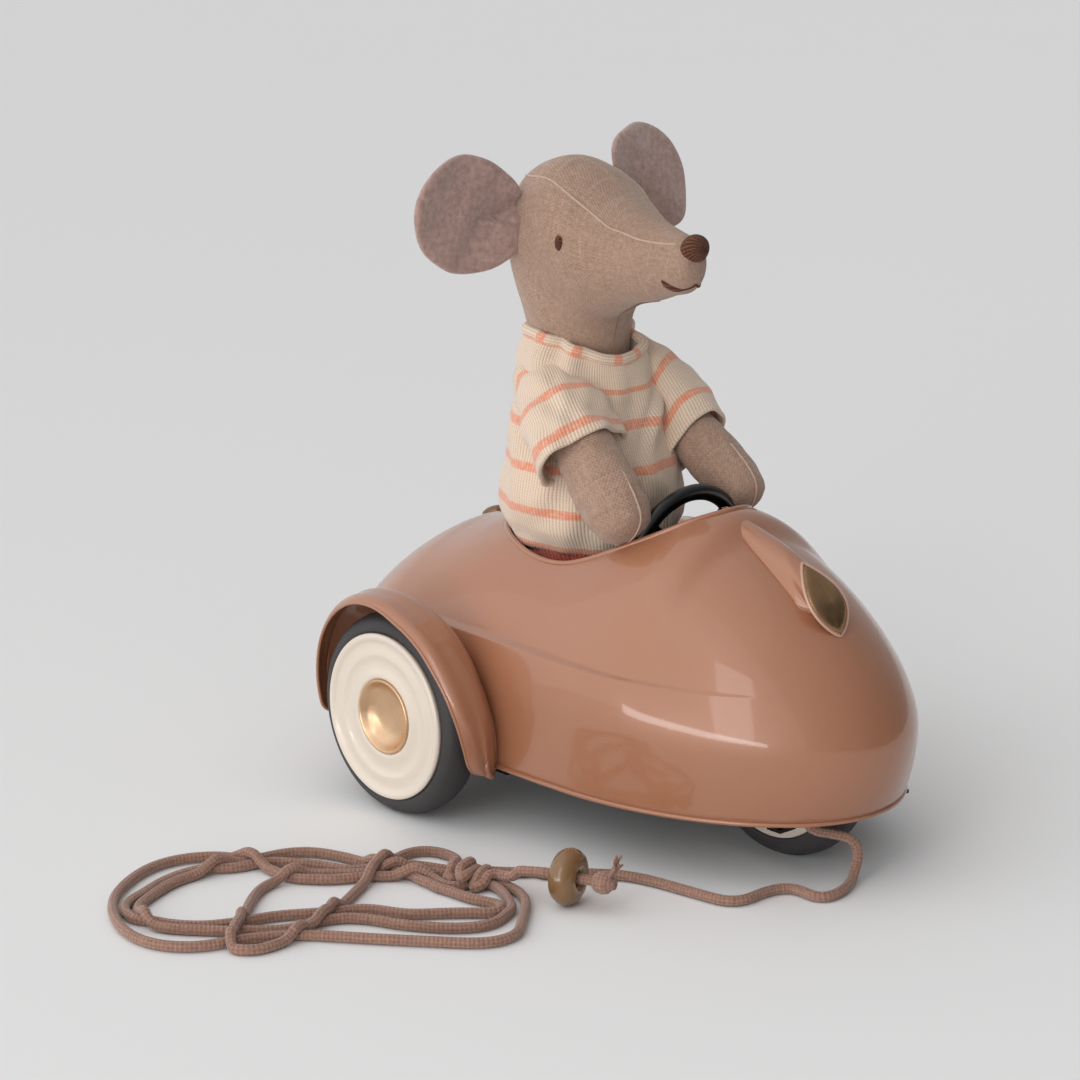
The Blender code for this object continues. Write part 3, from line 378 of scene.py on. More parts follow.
def smooth_path(p, step):
    p = np.array(p, float)
    p = np.vstack([2 * p[0] - p[1], p, 2 * p[-1] - p[-2]])
    f = []
    for a, b, c, d in zip(p, p[1:], p[2:], p[3:]):
        for t in np.linspace(0, 1, 14, endpoint=False):
            f.append(0.5 * (2 * b + (c - a) * t + (2 * a - 5 * b + 4 * c - d) * t**2 + (3 * b - a - 3 * c + d) * t**3))
    f.append(p[-2])
    f = np.array(f)
    s = np.concatenate([[0], np.cumsum(np.linalg.norm(np.diff(f, axis=0), axis=1))])
    q = np.linspace(0, s[-1], max(2, int(round(s[-1] / step)) + 1))
    return np.stack([np.interp(q, s, f[:, i]) for i in range(3)], 1)


def tube(name, path, radius, mat, n=12, body=None, replaces=(), caps=True, wobble=None):
    """A mesh tube with frames that don't twist, and UVs in millimetres."""
    path = np.array(path, float)
    r = np.full(len(path), float(radius)) if np.isscalar(radius) else np.array(radius, float)
    tan = np.gradient(path, axis=0)
    tan /= np.linalg.norm(tan, axis=1)[:, None]
    ref = np.cross(tan[0], (0, 0, 1.0) if abs(tan[0][2]) < 0.9 else (0, 1.0, 0))
    ref /= np.linalg.norm(ref)
    rows = []
    for p, t, q in zip(path, tan, r):
        ref = ref - t * (ref @ t)
        ref /= np.linalg.norm(ref)
        w = np.cross(t, ref)
        rows.append(oval(p, ref * q, w * q, n))
    if caps:
        rows.insert(0, np.repeat((path[0] - tan[0] * r[0] * 0.35)[None], n, 0))
        rows.append(np.repeat((path[-1] + tan[-1] * r[-1] * 0.35)[None], n, 0))
    pts, faces, uv = grid(rows)
    return finish_mesh(name, pts, faces, mat, uv, body, replaces)


def turned(name, profile, centre, mat, side=1, n=128, body=None, replaces=(), axis="Y"):
    """A turned piece from (radius, height) pairs, height along the axis."""
    rows = []
    t = np.linspace(0, 2 * math.pi, n, endpoint=False)
    for r, h in profile:
        if axis == "Y":
            rows.append(np.stack([centre[0] + r * np.cos(t), np.full(n, centre[1] + side * h), centre[2] + r * np.sin(t)], 1))
        else:
            rows.append(np.stack([centre[0] + r * np.cos(t), centre[1] + r * np.sin(t), np.full(n, centre[2] + h)], 1))
    pts, faces, uv = grid(rows)
    return finish_mesh(name, pts, faces, mat, uv, body, replaces)


def solidify(obj, thick, offset=-1):
    m = obj.modifiers.new("wall", "SOLIDIFY")
    m.thickness = thick * 0.001
    m.offset = offset
    return obj


# ----------------------------------------------------------------------- cord
ROUTE = [
    (0.07090,-0.01240,0.01900), (0.07086,-0.01249,0.01650), (0.07118,-0.01183,0.01414), (0.07211,-0.01000,0.01282), (0.07324,-0.00787,0.01216),
    (0.07449,-0.00580,0.01150), (0.07577,-0.00381,0.01073), (0.07664,-0.00221,0.00906), (0.07704,-0.00167,0.00669), (0.07739,-0.00236,0.00436),
    (0.07821,-0.00404,0.00272), (0.07924,-0.00596,0.00150), (0.08041,-0.00814,0.00140), (0.08144,-0.01036,0.00140), (0.08219,-0.01266,0.00140),
    (0.08257,-0.01502,0.00140), (0.08229,-0.01735,0.00140), (0.08071,-0.01895,0.00140), (0.07839,-0.01917,0.00140), (0.07605,-0.01908,0.00140),
    (0.07376,-0.01948,0.00140), (0.07200,-0.02100,0.00140), (0.07113,-0.02319,0.00140), (0.07086,-0.02556,0.00140), (0.07091,-0.02796,0.00140),
    (0.07114,-0.03035,0.00140), (0.07110,-0.03273,0.00140), (0.07023,-0.03493,0.00140), (0.06844,-0.03647,0.00140), (0.06615,-0.03722,0.00140),
    (0.06376,-0.03765,0.00140), (0.06134,-0.03804,0.00140), (0.05890,-0.03842,0.00140), (0.05645,-0.03879,0.00140), (0.05400,-0.03916,0.00140),
    (0.05154,-0.03955,0.00140), (0.04910,-0.04001,0.00140), (0.04668,-0.04059,0.00140), (0.04432,-0.04133,0.00140), (0.04204,-0.04228,0.00140),
    (0.03988,-0.04350,0.00140), (0.03791,-0.04497,0.00140), (0.03611,-0.04664,0.00140), (0.03446,-0.04845,0.00140), (0.03292,-0.05033,0.00140),
    (0.03141,-0.05220,0.00140), (0.02986,-0.05399,0.00140), (0.02832,-0.05570,0.00140), (0.02654,-0.05609,0.00140), (0.02524,-0.05679,0.00140),
    (0.02396,-0.05874,0.00140), (0.02240,-0.06053,0.00140), (0.02066,-0.06220,0.00140), (0.01883,-0.06380,0.00140), (0.01692,-0.06536,0.00140),
    (0.01496,-0.06691,0.00140), (0.01361,-0.06901,0.00140), (0.01174,-0.07058,0.00140), (0.00953,-0.07169,0.00140), (0.00729,-0.07273,0.00140),
    (0.00509,-0.07385,0.00140), (0.00303,-0.07519,0.00140), (0.00130,-0.07694,0.00140), (-0.00028,-0.07884,0.00140), (-0.00165,-0.08096,0.00140),
    (-0.00170,-0.08354,0.00140), (-0.00252,-0.08583,0.00140), (-0.00394,-0.08779,0.00140), (-0.00597,-0.08912,0.00140), (-0.00823,-0.09004,0.00140),
    (-0.01051,-0.09094,0.00140), (-0.01268,-0.09210,0.00140), (-0.01469,-0.09352,0.00140), (-0.01665,-0.09500,0.00140), (-0.01863,-0.09647,0.00140),
    (-0.02040,-0.09816,0.00140), (-0.02172,-0.10023,0.00140), (-0.02232,-0.10262,0.00140), (-0.02281,-0.10505,0.00140), (-0.02366,-0.10739,0.00140),
    (-0.02501,-0.10953,0.00140), (-0.02661,-0.11152,0.00140), (-0.02751,-0.11388,0.00140), (-0.02784,-0.11639,0.00140), (-0.02788,-0.11892,0.00140),
    (-0.02763,-0.12145,0.00140), (-0.02713,-0.12396,0.00140), (-0.02644,-0.12641,0.00140), (-0.02559,-0.12880,0.00140), (-0.02460,-0.13110,0.00140),
    (-0.02362,-0.13339,0.00140), (-0.02276,-0.13571,0.00140), (-0.02181,-0.13799,0.00140), (-0.02057,-0.14011,0.00140), (-0.01891,-0.14189,0.00140),
    (-0.01683,-0.14316,0.00140), (-0.01449,-0.14389,0.00140), (-0.01205,-0.14410,0.00140), (-0.00977,-0.14314,0.00140), (-0.00765,-0.14184,0.00140),
    (-0.00534,-0.14093,0.00140), (-0.00318,-0.13975,0.00140), (-0.00118,-0.13831,0.00140), (0.00064,-0.13664,0.00140), (0.00219,-0.13472,0.00140),
    (0.00345,-0.13259,0.00140), (0.00447,-0.13033,0.00140), (0.00537,-0.12802,0.00140), (0.00616,-0.12565,0.00140), (0.00666,-0.12321,0.00140),
    (0.00741,-0.12083,0.00140), (0.00836,-0.11853,0.00140), (0.00949,-0.11632,0.00140), (0.01079,-0.11420,0.00140), (0.01212,-0.11210,0.00140),
    (0.01335,-0.10994,0.00140), (0.01464,-0.10782,0.00140), (0.01560,-0.10553,0.00140), (0.01663,-0.10330,0.00140), (0.01812,-0.10137,0.00140),
    (0.02007,-0.09989,0.00140), (0.02223,-0.09873,0.00140), (0.02443,-0.09762,0.00140), (0.02651,-0.09633,0.00140), (0.02826,-0.09463,0.00140),
    (0.02976,-0.09268,0.00140), (0.03122,-0.09070,0.00140), (0.03268,-0.08874,0.00140), (0.03420,-0.08684,0.00140), (0.03581,-0.08504,0.00140),
    (0.03740,-0.08327,0.00140), (0.03873,-0.08136,0.00140), (0.03899,-0.07916,0.00140), (0.03762,-0.07748,0.00140), (0.03546,-0.07702,0.00140),
    (0.03321,-0.07761,0.00140), (0.03094,-0.07832,0.00140), (0.02859,-0.07890,0.00140), (0.02617,-0.07921,0.00140), (0.02371,-0.07939,0.00140),
    (0.02125,-0.07958,0.00140), (0.01879,-0.08001,0.00140), (0.01629,-0.07982,0.00140), (0.01378,-0.07970,0.00140), (0.01126,-0.07966,0.00140),
    (0.00876,-0.07916,0.00140), (0.00628,-0.07958,0.00140), (0.00382,-0.08025,0.00140), (0.00124,-0.08059,0.00163), (-0.00088,-0.08145,0.00313),
    (-0.00341,-0.08174,0.00283), (-0.00566,-0.08217,0.00159), (-0.00816,-0.08260,0.00140), (-0.01062,-0.08313,0.00140), (-0.01303,-0.08382,0.00140),
    (-0.01536,-0.08469,0.00140), (-0.01759,-0.08578,0.00140), (-0.01963,-0.08716,0.00140), (-0.02129,-0.08897,0.00140), (-0.02249,-0.09112,0.00140),
    (-0.02332,-0.09344,0.00140), (-0.02386,-0.09586,0.00140), (-0.02422,-0.09833,0.00140), (-0.02456,-0.10081,0.00140), (-0.02487,-0.10331,0.00140),
    (-0.02551,-0.10572,0.00187), (-0.02592,-0.10800,0.00307), (-0.02573,-0.11055,0.00373), (-0.02538,-0.11305,0.00297), (-0.02535,-0.11541,0.00189),
    (-0.02546,-0.11789,0.00140), (-0.02537,-0.12037,0.00140), (-0.02496,-0.12279,0.00140), (-0.02435,-0.12515,0.00140), (-0.02354,-0.12746,0.00140),
    (-0.02258,-0.12973,0.00140), (-0.02158,-0.13199,0.00140), (-0.02048,-0.13421,0.00140), (-0.01930,-0.13639,0.00140), (-0.01793,-0.13846,0.00140),
    (-0.01620,-0.14023,0.00140), (-0.01406,-0.14149,0.00164), (-0.01193,-0.14219,0.00288), (-0.00963,-0.14316,0.00371), (-0.00727,-0.14379,0.00276),
    (-0.00503,-0.14335,0.00159), (-0.00274,-0.14232,0.00140), (-0.00062,-0.14096,0.00140), (0.00132,-0.13939,0.00140), (0.00317,-0.13770,0.00140),
    (0.00504,-0.13605,0.00140), (0.00688,-0.13437,0.00140), (0.00858,-0.13256,0.00140), (0.01016,-0.13064,0.00140), (0.01173,-0.12871,0.00140),
    (0.01330,-0.12679,0.00140), (0.01482,-0.12484,0.00140), (0.01601,-0.12269,0.00140), (0.01663,-0.12032,0.00140), (0.01675,-0.11785,0.00140),
    (0.01665,-0.11538,0.00140), (0.01728,-0.11299,0.00140), (0.01809,-0.11067,0.00140), (0.01929,-0.10854,0.00140), (0.02095,-0.10673,0.00140),
    (0.02290,-0.10524,0.00140), (0.02506,-0.10405,0.00140), (0.02733,-0.10306,0.00140), (0.02959,-0.10204,0.00140), (0.03177,-0.10086,0.00140),
    (0.03386,-0.09953,0.00140), (0.03588,-0.09808,0.00140), (0.03781,-0.09653,0.00140), (0.03964,-0.09487,0.00140), (0.04128,-0.09304,0.00140),
    (0.04264,-0.09099,0.00140), (0.04362,-0.08875,0.00140), (0.04403,-0.08635,0.00140), (0.04373,-0.08393,0.00140), (0.04290,-0.08162,0.00140),
    (0.04180,-0.07941,0.00140), (0.04061,-0.07723,0.00140), (0.03890,-0.07541,0.00140), (0.03679,-0.07412,0.00140), (0.03469,-0.07285,0.00140),
    (0.03254,-0.07173,0.00140), (0.03034,-0.07078,0.00140), (0.02813,-0.07001,0.00140), (0.02587,-0.06967,0.00140), (0.02370,-0.06988,0.00140),
    (0.02173,-0.07059,0.00140), (0.02055,-0.07238,0.00140), (0.02118,-0.07455,0.00140), (0.02057,-0.07662,0.00140), (0.01846,-0.07769,0.00140),
    (0.01601,-0.07742,0.00140), (0.01358,-0.07729,0.00174), (0.01144,-0.07790,0.00300), (0.00945,-0.07947,0.00368), (0.00771,-0.08119,0.00273),
    (0.00600,-0.08266,0.00153), (0.00436,-0.08456,0.00140), (0.00278,-0.08648,0.00140), (0.00144,-0.08858,0.00140), (0.00034,-0.09080,0.00140),
    (-0.00077,-0.09302,0.00140), (-0.00210,-0.09511,0.00140), (-0.00374,-0.09695,0.00140), (-0.00558,-0.09860,0.00140), (-0.00745,-0.10021,0.00140),
    (-0.00976,-0.10102,0.00140), (-0.01220,-0.10142,0.00140), (-0.01469,-0.10148,0.00140), (-0.01720,-0.10153,0.00140), (-0.01959,-0.10166,0.00227),
    (-0.02185,-0.10184,0.00364), (-0.02451,-0.10208,0.00372), (-0.02684,-0.10251,0.00257), (-0.02899,-0.10334,0.00147), (-0.03111,-0.10467,0.00140),
    (-0.03286,-0.10644,0.00140), (-0.03426,-0.10848,0.00140), (-0.03535,-0.11070,0.00140), (-0.03614,-0.11305,0.00140), (-0.03660,-0.11547,0.00140),
    (-0.03669,-0.11794,0.00140), (-0.03642,-0.12040,0.00140), (-0.03587,-0.12282,0.00140), (-0.03509,-0.12518,0.00140), (-0.03411,-0.12746,0.00140),
    (-0.03298,-0.12968,0.00140), (-0.03176,-0.13185,0.00140), (-0.03044,-0.13396,0.00140), (-0.02900,-0.13600,0.00140), (-0.02742,-0.13792,0.00140),
    (-0.02571,-0.13973,0.00140), (-0.02388,-0.14143,0.00140), (-0.02195,-0.14300,0.00140), (-0.01992,-0.14445,0.00140), (-0.01782,-0.14579,0.00140),
    (-0.01565,-0.14701,0.00140), (-0.01341,-0.14811,0.00140), (-0.01111,-0.14906,0.00140), (-0.00875,-0.14983,0.00140), (-0.00634,-0.15041,0.00140),
    (-0.00389,-0.15077,0.00140), (-0.00142,-0.15087,0.00140), (0.00104,-0.15065,0.00140), (0.00342,-0.15003,0.00140), (0.00566,-0.14901,0.00140),
    (0.00769,-0.14763,0.00140), (0.00948,-0.14594,0.00140), (0.01095,-0.14396,0.00140), (0.01206,-0.14176,0.00140), (0.01283,-0.13941,0.00140),
    (0.01325,-0.13696,0.00140), (0.01415,-0.13463,0.00140), (0.01502,-0.13230,0.00140), (0.01605,-0.13003,0.00140), (0.01721,-0.12783,0.00140),
    (0.01847,-0.12568,0.00140), (0.01976,-0.12354,0.00140), (0.02157,-0.12178,0.00140), (0.02330,-0.12000,0.00140), (0.02520,-0.11839,0.00140),
    (0.02714,-0.11682,0.00140), (0.02908,-0.11525,0.00140), (0.03102,-0.11368,0.00140), (0.03295,-0.11209,0.00140), (0.03487,-0.11050,0.00140),
    (0.03679,-0.10889,0.00140), (0.03868,-0.10727,0.00140), (0.04057,-0.10563,0.00140), (0.04245,-0.10399,0.00140), (0.04433,-0.10236,0.00140),
    (0.04621,-0.10074,0.00140), (0.04807,-0.09910,0.00140), (0.04981,-0.09735,0.00140), (0.05135,-0.09543,0.00140), (0.05251,-0.09328,0.00140),
    (0.05314,-0.09093,0.00140), (0.05312,-0.08850,0.00140), (0.05246,-0.08616,0.00140), (0.05125,-0.08404,0.00140), (0.04967,-0.08216,0.00140),
    (0.04801,-0.08033,0.00140), (0.04633,-0.07850,0.00140), (0.04465,-0.07668,0.00140), (0.04294,-0.07487,0.00140), (0.04118,-0.07311,0.00140),
    (0.03931,-0.07147,0.00140), (0.03729,-0.07004,0.00140), (0.03510,-0.06887,0.00140), (0.03276,-0.06805,0.00140), (0.03029,-0.06766,0.00140),
    (0.02779,-0.06748,0.00140), (0.02525,-0.06727,0.00140), (0.02271,-0.06766,0.00141), (0.02041,-0.06884,0.00140), (0.01829,-0.07029,0.00140),
    (0.01596,-0.07138,0.00140), (0.01369,-0.07245,0.00140), (0.01153,-0.07376,0.00140), (0.00933,-0.07500,0.00140), (0.00714,-0.07628,0.00140),
    (0.00506,-0.07758,0.00206), (0.00350,-0.07919,0.00344), (0.00263,-0.08168,0.00328), (0.00153,-0.08352,0.00172), (0.00031,-0.08573,0.00140),
    (-0.00092,-0.08793,0.00140), (-0.00229,-0.09003,0.00140), (-0.00393,-0.09192,0.00140), (-0.00569,-0.09371,0.00140), (-0.00728,-0.09566,0.00140),
    (-0.00852,-0.09779,0.00197), (-0.00925,-0.09987,0.00343), (-0.00950,-0.10250,0.00320), (-0.00963,-0.10466,0.00174), (-0.00932,-0.10713,0.00140),
    (-0.00858,-0.10953,0.00140), (-0.00753,-0.11179,0.00140), (-0.00621,-0.11392,0.00140), (-0.00472,-0.11593,0.00140), (-0.00312,-0.11786,0.00140),
    (-0.00146,-0.11974,0.00140), (0.00025,-0.12158,0.00140), (0.00197,-0.12342,0.00140), (0.00359,-0.12523,0.00212), (0.00508,-0.12687,0.00354),
    (0.00693,-0.12869,0.00324), (0.00863,-0.13059,0.00344), (0.01025,-0.13256,0.00341), (0.01180,-0.13451,0.00306), (0.01350,-0.13632,0.00370),
    (0.01523,-0.13777,0.00258), (0.01714,-0.13850,0.00140), (0.01936,-0.13777,0.00140), (0.02089,-0.13596,0.00140), (0.02166,-0.13370,0.00140),
    (0.02179,-0.13127,0.00140), (0.02163,-0.12880,0.00140), (0.02134,-0.12634,0.00180), (0.02103,-0.12420,0.00326), (0.02017,-0.12172,0.00343),
    (0.01950,-0.11944,0.00235), (0.01879,-0.11700,0.00251), (0.01795,-0.11470,0.00340), (0.01675,-0.11236,0.00360), (0.01567,-0.11002,0.00324),
    (0.01440,-0.10773,0.00369), (0.01330,-0.10566,0.00247), (0.01226,-0.10354,0.00144), (0.01104,-0.10131,0.00140), (0.00976,-0.09912,0.00140),
    (0.00846,-0.09695,0.00140), (0.00716,-0.09478,0.00140), (0.00586,-0.09260,0.00140), (0.00460,-0.09040,0.00163), (0.00359,-0.08839,0.00293),
    (0.00229,-0.08622,0.00371), (0.00110,-0.08390,0.00412), (0.00041,-0.08138,0.00489), (-0.00082,-0.07916,0.00394), (-0.00189,-0.07725,0.00247),
    (-0.00271,-0.07505,0.00143), (-0.00335,-0.07264,0.00140), (-0.00359,-0.07021,0.00140), (-0.00310,-0.06787,0.00140), (-0.00169,-0.06597,0.00140),
    (0.00033,-0.06475,0.00140), (0.00262,-0.06423,0.00140), (0.00495,-0.06425,0.00140), (0.00717,-0.06476,0.00140), (0.00910,-0.06592,0.00140),
    (0.01078,-0.06743,0.00140), (0.01186,-0.06851,0.00305), (0.01330,-0.07017,0.00372), (0.01441,-0.07218,0.00369), (0.01546,-0.07380,0.00247),
    (0.01634,-0.07500,0.00140), (0.01714,-0.07588,0.00315), (0.01817,-0.07552,0.00221), (0.01854,-0.07383,0.00140), (0.01746,-0.07253,0.00285),
    (0.01623,-0.07065,0.00346), (0.01634,-0.06876,0.00223), (0.01671,-0.06815,0.00254), (0.01738,-0.06895,0.00464), (0.01833,-0.07109,0.00517),
    (0.01876,-0.07333,0.00460), (0.02003,-0.07460,0.00345), (0.02188,-0.07545,0.00366), (0.02121,-0.07325,0.00375), (0.02018,-0.07127,0.00355),
    (0.01948,-0.06912,0.00357), (0.01896,-0.06727,0.00239), (0.01994,-0.06651,0.00208), (0.02132,-0.06751,0.00366), (0.02217,-0.06972,0.00371),
    (0.02282,-0.07181,0.00298), (0.02331,-0.07341,0.00140), (0.02436,-0.07369,0.00140), (0.02511,-0.07176,0.00234), (0.02478,-0.06987,0.00373),
    (0.02579,-0.06792,0.00365), (0.02810,-0.06758,0.00378), (0.03039,-0.06744,0.00441), (0.03227,-0.06721,0.00610), (0.03461,-0.06646,0.00650),
    (0.03691,-0.06549,0.00674), (0.03922,-0.06454,0.00688), (0.04154,-0.06362,0.00688), (0.04386,-0.06269,0.00685), (0.04619,-0.06177,0.00685),
    (0.04851,-0.06084,0.00685), (0.05084,-0.05992,0.00685), (0.05200,-0.05946,0.00685),
]
route = np.array(ROUTE) * 1000 + np.array([MID_X, 0, 0])
fine = smooth_path(route, 0.75)
bead_at, along = np.array([75.6, -62.6, 6.85]), np.array([0.93, 0.37, 0])
along = along / np.linalg.norm(along)
pull = tube("pull_cord", fine, 1.22, CORD, 12, "car", ("cord_lead", "cord_hank", "cord_bead_line"))
sidev = np.array([-along[1], along[0], 0])
kn = bead_at + along * 8.8
knot_rows = [oval(kn + along * h, sidev * r, np.array([0, 0, r]), 24) for h, r in ((-2.6, 0.8), (-2.3, 1.7), (-1.2, 2.5), (0.3, 2.7), (1.5, 2.4), (2.3, 1.5), (3.1, 1.2), (3.2, 0.2))]
kp, kf, ku = grid(knot_rows)
knot = finish_mesh("stop_knot", kp, kf, CORD, ku, "car", ("cord_stop_knot",))
rng = np.random.RandomState(4)
strands = []
for k in range(16):
    a = rng.rand() * 6.28
    q = rng.rand(3) - 0.5
    p0 = kn + along * 1.6 + np.array([0, 0, 1.6]) + (sidev * math.cos(a) + np.array([0, 0, math.sin(a)])) * 0.7
    p1 = p0 + along * 1.3 + np.array([0, 0, 1.6]) + sidev * q[0] * 1.2 + np.array([0, 0, q[1] * 1.2 + 0.7])
    p2 = p1 + along * (1.0 + 1.2 * q[2]) + np.array([0, 0, 1.2]) + sidev * q[0] * 2.0 + np.array([0, 0, q[1] * 1.4 + 0.7])
    strands.append(smooth_path([p0, p1, p2], 0.5))
for k, s in enumerate(strands):
    tube(f"frayed_end_{k}", s, 0.26, CORD, 6, "car", ())
bprof = [(1.45, 2.2), (2.2, 2.9), (3.3, 3.25), (4.6, 3.0), (5.8, 2.3), (6.5, 1.2), (6.75, 0), (6.5, -1.2), (5.8, -2.3), (4.6, -3.0), (3.3, -3.25), (2.2, -2.9), (1.45, -2.2), (1.45, 2.2)]
rows = []
for r, h in bprof:
    rows.append(oval(bead_at + along * h, sidev * r, np.array([0, 0, r]), 48))
bp, bf, bu = grid(rows)
bead = finish_mesh("cord_bead_turned", bp, bf, BEAD, bu, "car", ("cord_bead",))

# ----------------------------------------------------------------- car body
TIN, BODY_HALF, SKIRT_Z, BELT_Z, CREASE_Z, NOSE_X, TAIL_X = 0.8, 40.0, 16.0, 33.1, 46.5, 115.8, -52.9
RIM_X, RIM_A, RIM_B, RIM_P, BULGE = 27.2, 36.1, 23.2, 1.9, 1.85


def half_width(x):
    x = np.asarray(x, float)
    f = np.clip((x - 51.4) / (NOSE_X - 51.4), 0, 1)
    r = np.clip((-5 - x) / (-5 - TAIL_X), 0, 1)
    return BODY_HALF * (1 - f**1.95) ** (1 / 1.95) * (1 - r**2.24) ** (1 / 2.24)


def crown(x):
    x = np.asarray(x, float)
    mid = pchip((-20, 5, 30, 50, 66, 72), (62.3, 69.9, 73.4, 78.8, 80.6, 77.7), x)
    f = np.clip((x - 60) / (NOSE_X - 60), 0, 1)
    r = np.clip((-20 - x) / (-20 - TAIL_X), 0, 1)
    return BELT_Z + (mid - BELT_Z) * (1 - f**1.5) ** (1 / 1.5) * (1 - r**1.4) ** (1 / 1.4)


def dome(x, y):
    q = np.clip(np.abs(y) / np.maximum(half_width(x), 1e-6), 0, 1)
    return BELT_Z + (crown(x) - BELT_Z) * (1 - q**1.8) ** (1 / 1.8)


def outline(count):
    t = np.linspace(0, math.pi / 2, 900)
    fx, fy = 51.4 + (NOSE_X - 51.4) * np.cos(t) ** (2 / 1.95), BODY_HALF * np.sin(t) ** (2 / 1.95)
    rx, ry = -5 + (TAIL_X + 5) * np.sin(t) ** (2 / 2.24), BODY_HALF * np.cos(t) ** (2 / 2.24)
    x, y = np.concatenate([fx, rx]), np.concatenate([fy, ry])
    s = np.concatenate([[0], np.cumsum(np.hypot(np.diff(x), np.diff(y)))])
    q = np.linspace(0, s[-1], count // 2 + 1)
    hx, hy = np.interp(q, s, x), np.interp(q, s, y)
    return np.concatenate([hx, hx[-2:0:-1]]), np.concatenate([hy, -hy[-2:0:-1]])


def rim(count):
    t = np.linspace(0, 2 * math.pi, count, endpoint=False)
    e = 2 / RIM_P
    return RIM_X + RIM_A * np.sign(np.cos(t)) * np.abs(np.cos(t)) ** e, RIM_B * np.sign(np.sin(t)) * np.abs(np.sin(t)) ** e


def bulge(x, z):
    along_x = np.clip((x + 30) / 30, 0, 1) * np.clip((100 - x) / 60, 0, 1)
    down = np.clip((CREASE_Z + 0.5 - z) / 1.0, 0, 1)
    return BULGE * along_x * (down * down * (3 - 2 * down))


def body_rows(count, low, high):
    ox, oy = outline(count)
    rx, ry = rim(count)
    nx, ny = np.gradient(oy), -np.gradient(ox)
    nx[0], ny[0] = 1, 0
    size = np.hypot(nx, ny)
    nx, ny = nx / size, ny / size
    rows = []
    for z in low:
        if z <= BELT_Z:
            k = (BELT_Z - z) / (BELT_Z - SKIRT_Z)
            tuck = k**2 * (4.8 * np.abs(nx) ** 1.5)
            rows.append(np.stack([ox - nx * tuck, oy - ny * tuck, np.full(count, z)], 1))
            last = np.zeros(count)
        else:
            a, b = np.zeros(count), np.ones(count)
            for _ in range(40):
                m = (a + b) / 2
                up = dome(ox + (rx - ox) * m, oy + (ry - oy) * m) > z
                b, a = np.where(up, m, b), np.where(up, a, m)
            last = (a + b) / 2
            rows.append(np.stack([ox + (rx - ox) * last, oy + (ry - oy) * last, np.full(count, z)], 1))
        rows[-1][:, 1] += np.sign(oy) * bulge(rows[-1][:, 0], z) * np.abs(ny)
    for h in high:
        m = last + (1 - last) * h
        x, y = ox + (rx - ox) * m, oy + (ry - oy) * m
        rows.append(np.stack([x, y, dome(x, y)], 1))
    return rows


N = 240
low = list(np.linspace(SKIRT_Z, BELT_Z, 9)) + list(np.linspace(BELT_Z, 45.4, 8)[1:]) + list(np.linspace(45.9, 47.1, 9))
high = list(np.linspace(0, 1, 30)[1:] ** 1.15)
rows = body_rows(N, low, high)
pts, faces, uv = grid(rows)
body = finish_mesh("tin_body", pts, faces, PAINT, uv, "car", ("body_shell",))
solidify(body, TIN)
# rolled edges round the cockpit and the skirt
top = rows[-1]
tube("cockpit_edge", np.vstack([top, top[:2]]) + np.array([0, 0, -0.25]), 0.75, PAINT, 10, "car", (), caps=False)
bot = rows[0]
tube("skirt_edge", np.vstack([bot, bot[:2]]) + np.array([0, 0, 0.35]), 0.62, PAINT, 8, "car", (), caps=False)

# headlamp pod, one smooth swelling of the hood
crest = ((61, 80.0), (66, 78.9), (73, 77.1), (80, 75.0), (84, 73.5), (87.6, 71.7))
prow = []
for s in np.linspace(0, 1, 50):
    bx, cx = 61 + 37.6 * s, 61 + 26.4 * s
    cz = float(pchip([c[0] for c in crest], [c[1] for c in crest], cx))
    w = float(pchip((0, 0.15, 0.4, 0.7, 1.0), (0.2, 2.3, 4.4, 5.4, 5.6), s))
    bz = float(dome(bx, 0))
    row = []
    for q in np.linspace(-1.0, 1.0, 41):
        y = w * q
        p = (1 - min(1, abs(q)) ** 2.2) ** 0.68
        foot = np.array([bx, y, float(dome(bx, y)) - 0.12])
        row.append(foot + np.array([cx - bx, 0, cz - bz]) * p)
    prow.append(np.array(row))
lens_top, lens_low = np.array([87.2, 0, 72.0]), np.array([99.9, 0, 57.2])
slope = lens_low - lens_top
nrm = np.array([-slope[2], 0, slope[0]]) / np.linalg.norm(slope)


def lens_edge(q):
    """The almond edge of the lens: q is 0 at its upper point and 1 or -1 at its lower point."""
    k = min(1.0, abs(q))
    w = 5.6 * max(0.0, math.sin(math.pi * k**1.2)) ** 0.72
    return lens_top + slope * k + np.array([0, math.copysign(w, q), 0]) + nrm * 1.3 * math.sin(math.pi * k)


prow = prow[:41]
last_arch = prow[-1]
almond = np.array([lens_edge(q) for q in np.linspace(-1.0, 1.0, 41)])
for k in np.linspace(0.1, 1.0, 10):
    mixed = last_arch * (1 - k) + almond * k
    mixed[:, 2] += 0.9 * math.sin(math.pi * k) * np.abs(np.linspace(-1, 1, 41)) ** 2
    prow.append(mixed)
pp, pf, pu = grid(prow, closed=False)
pod = finish_mesh("lamp_pod", pp, pf, PAINT, pu, "car", ("headlight_pod",))
solidify(pod, 0.5)
edge_line = np.array([lens_edge(q) for q in np.linspace(-1.0, 1.0, 81)])
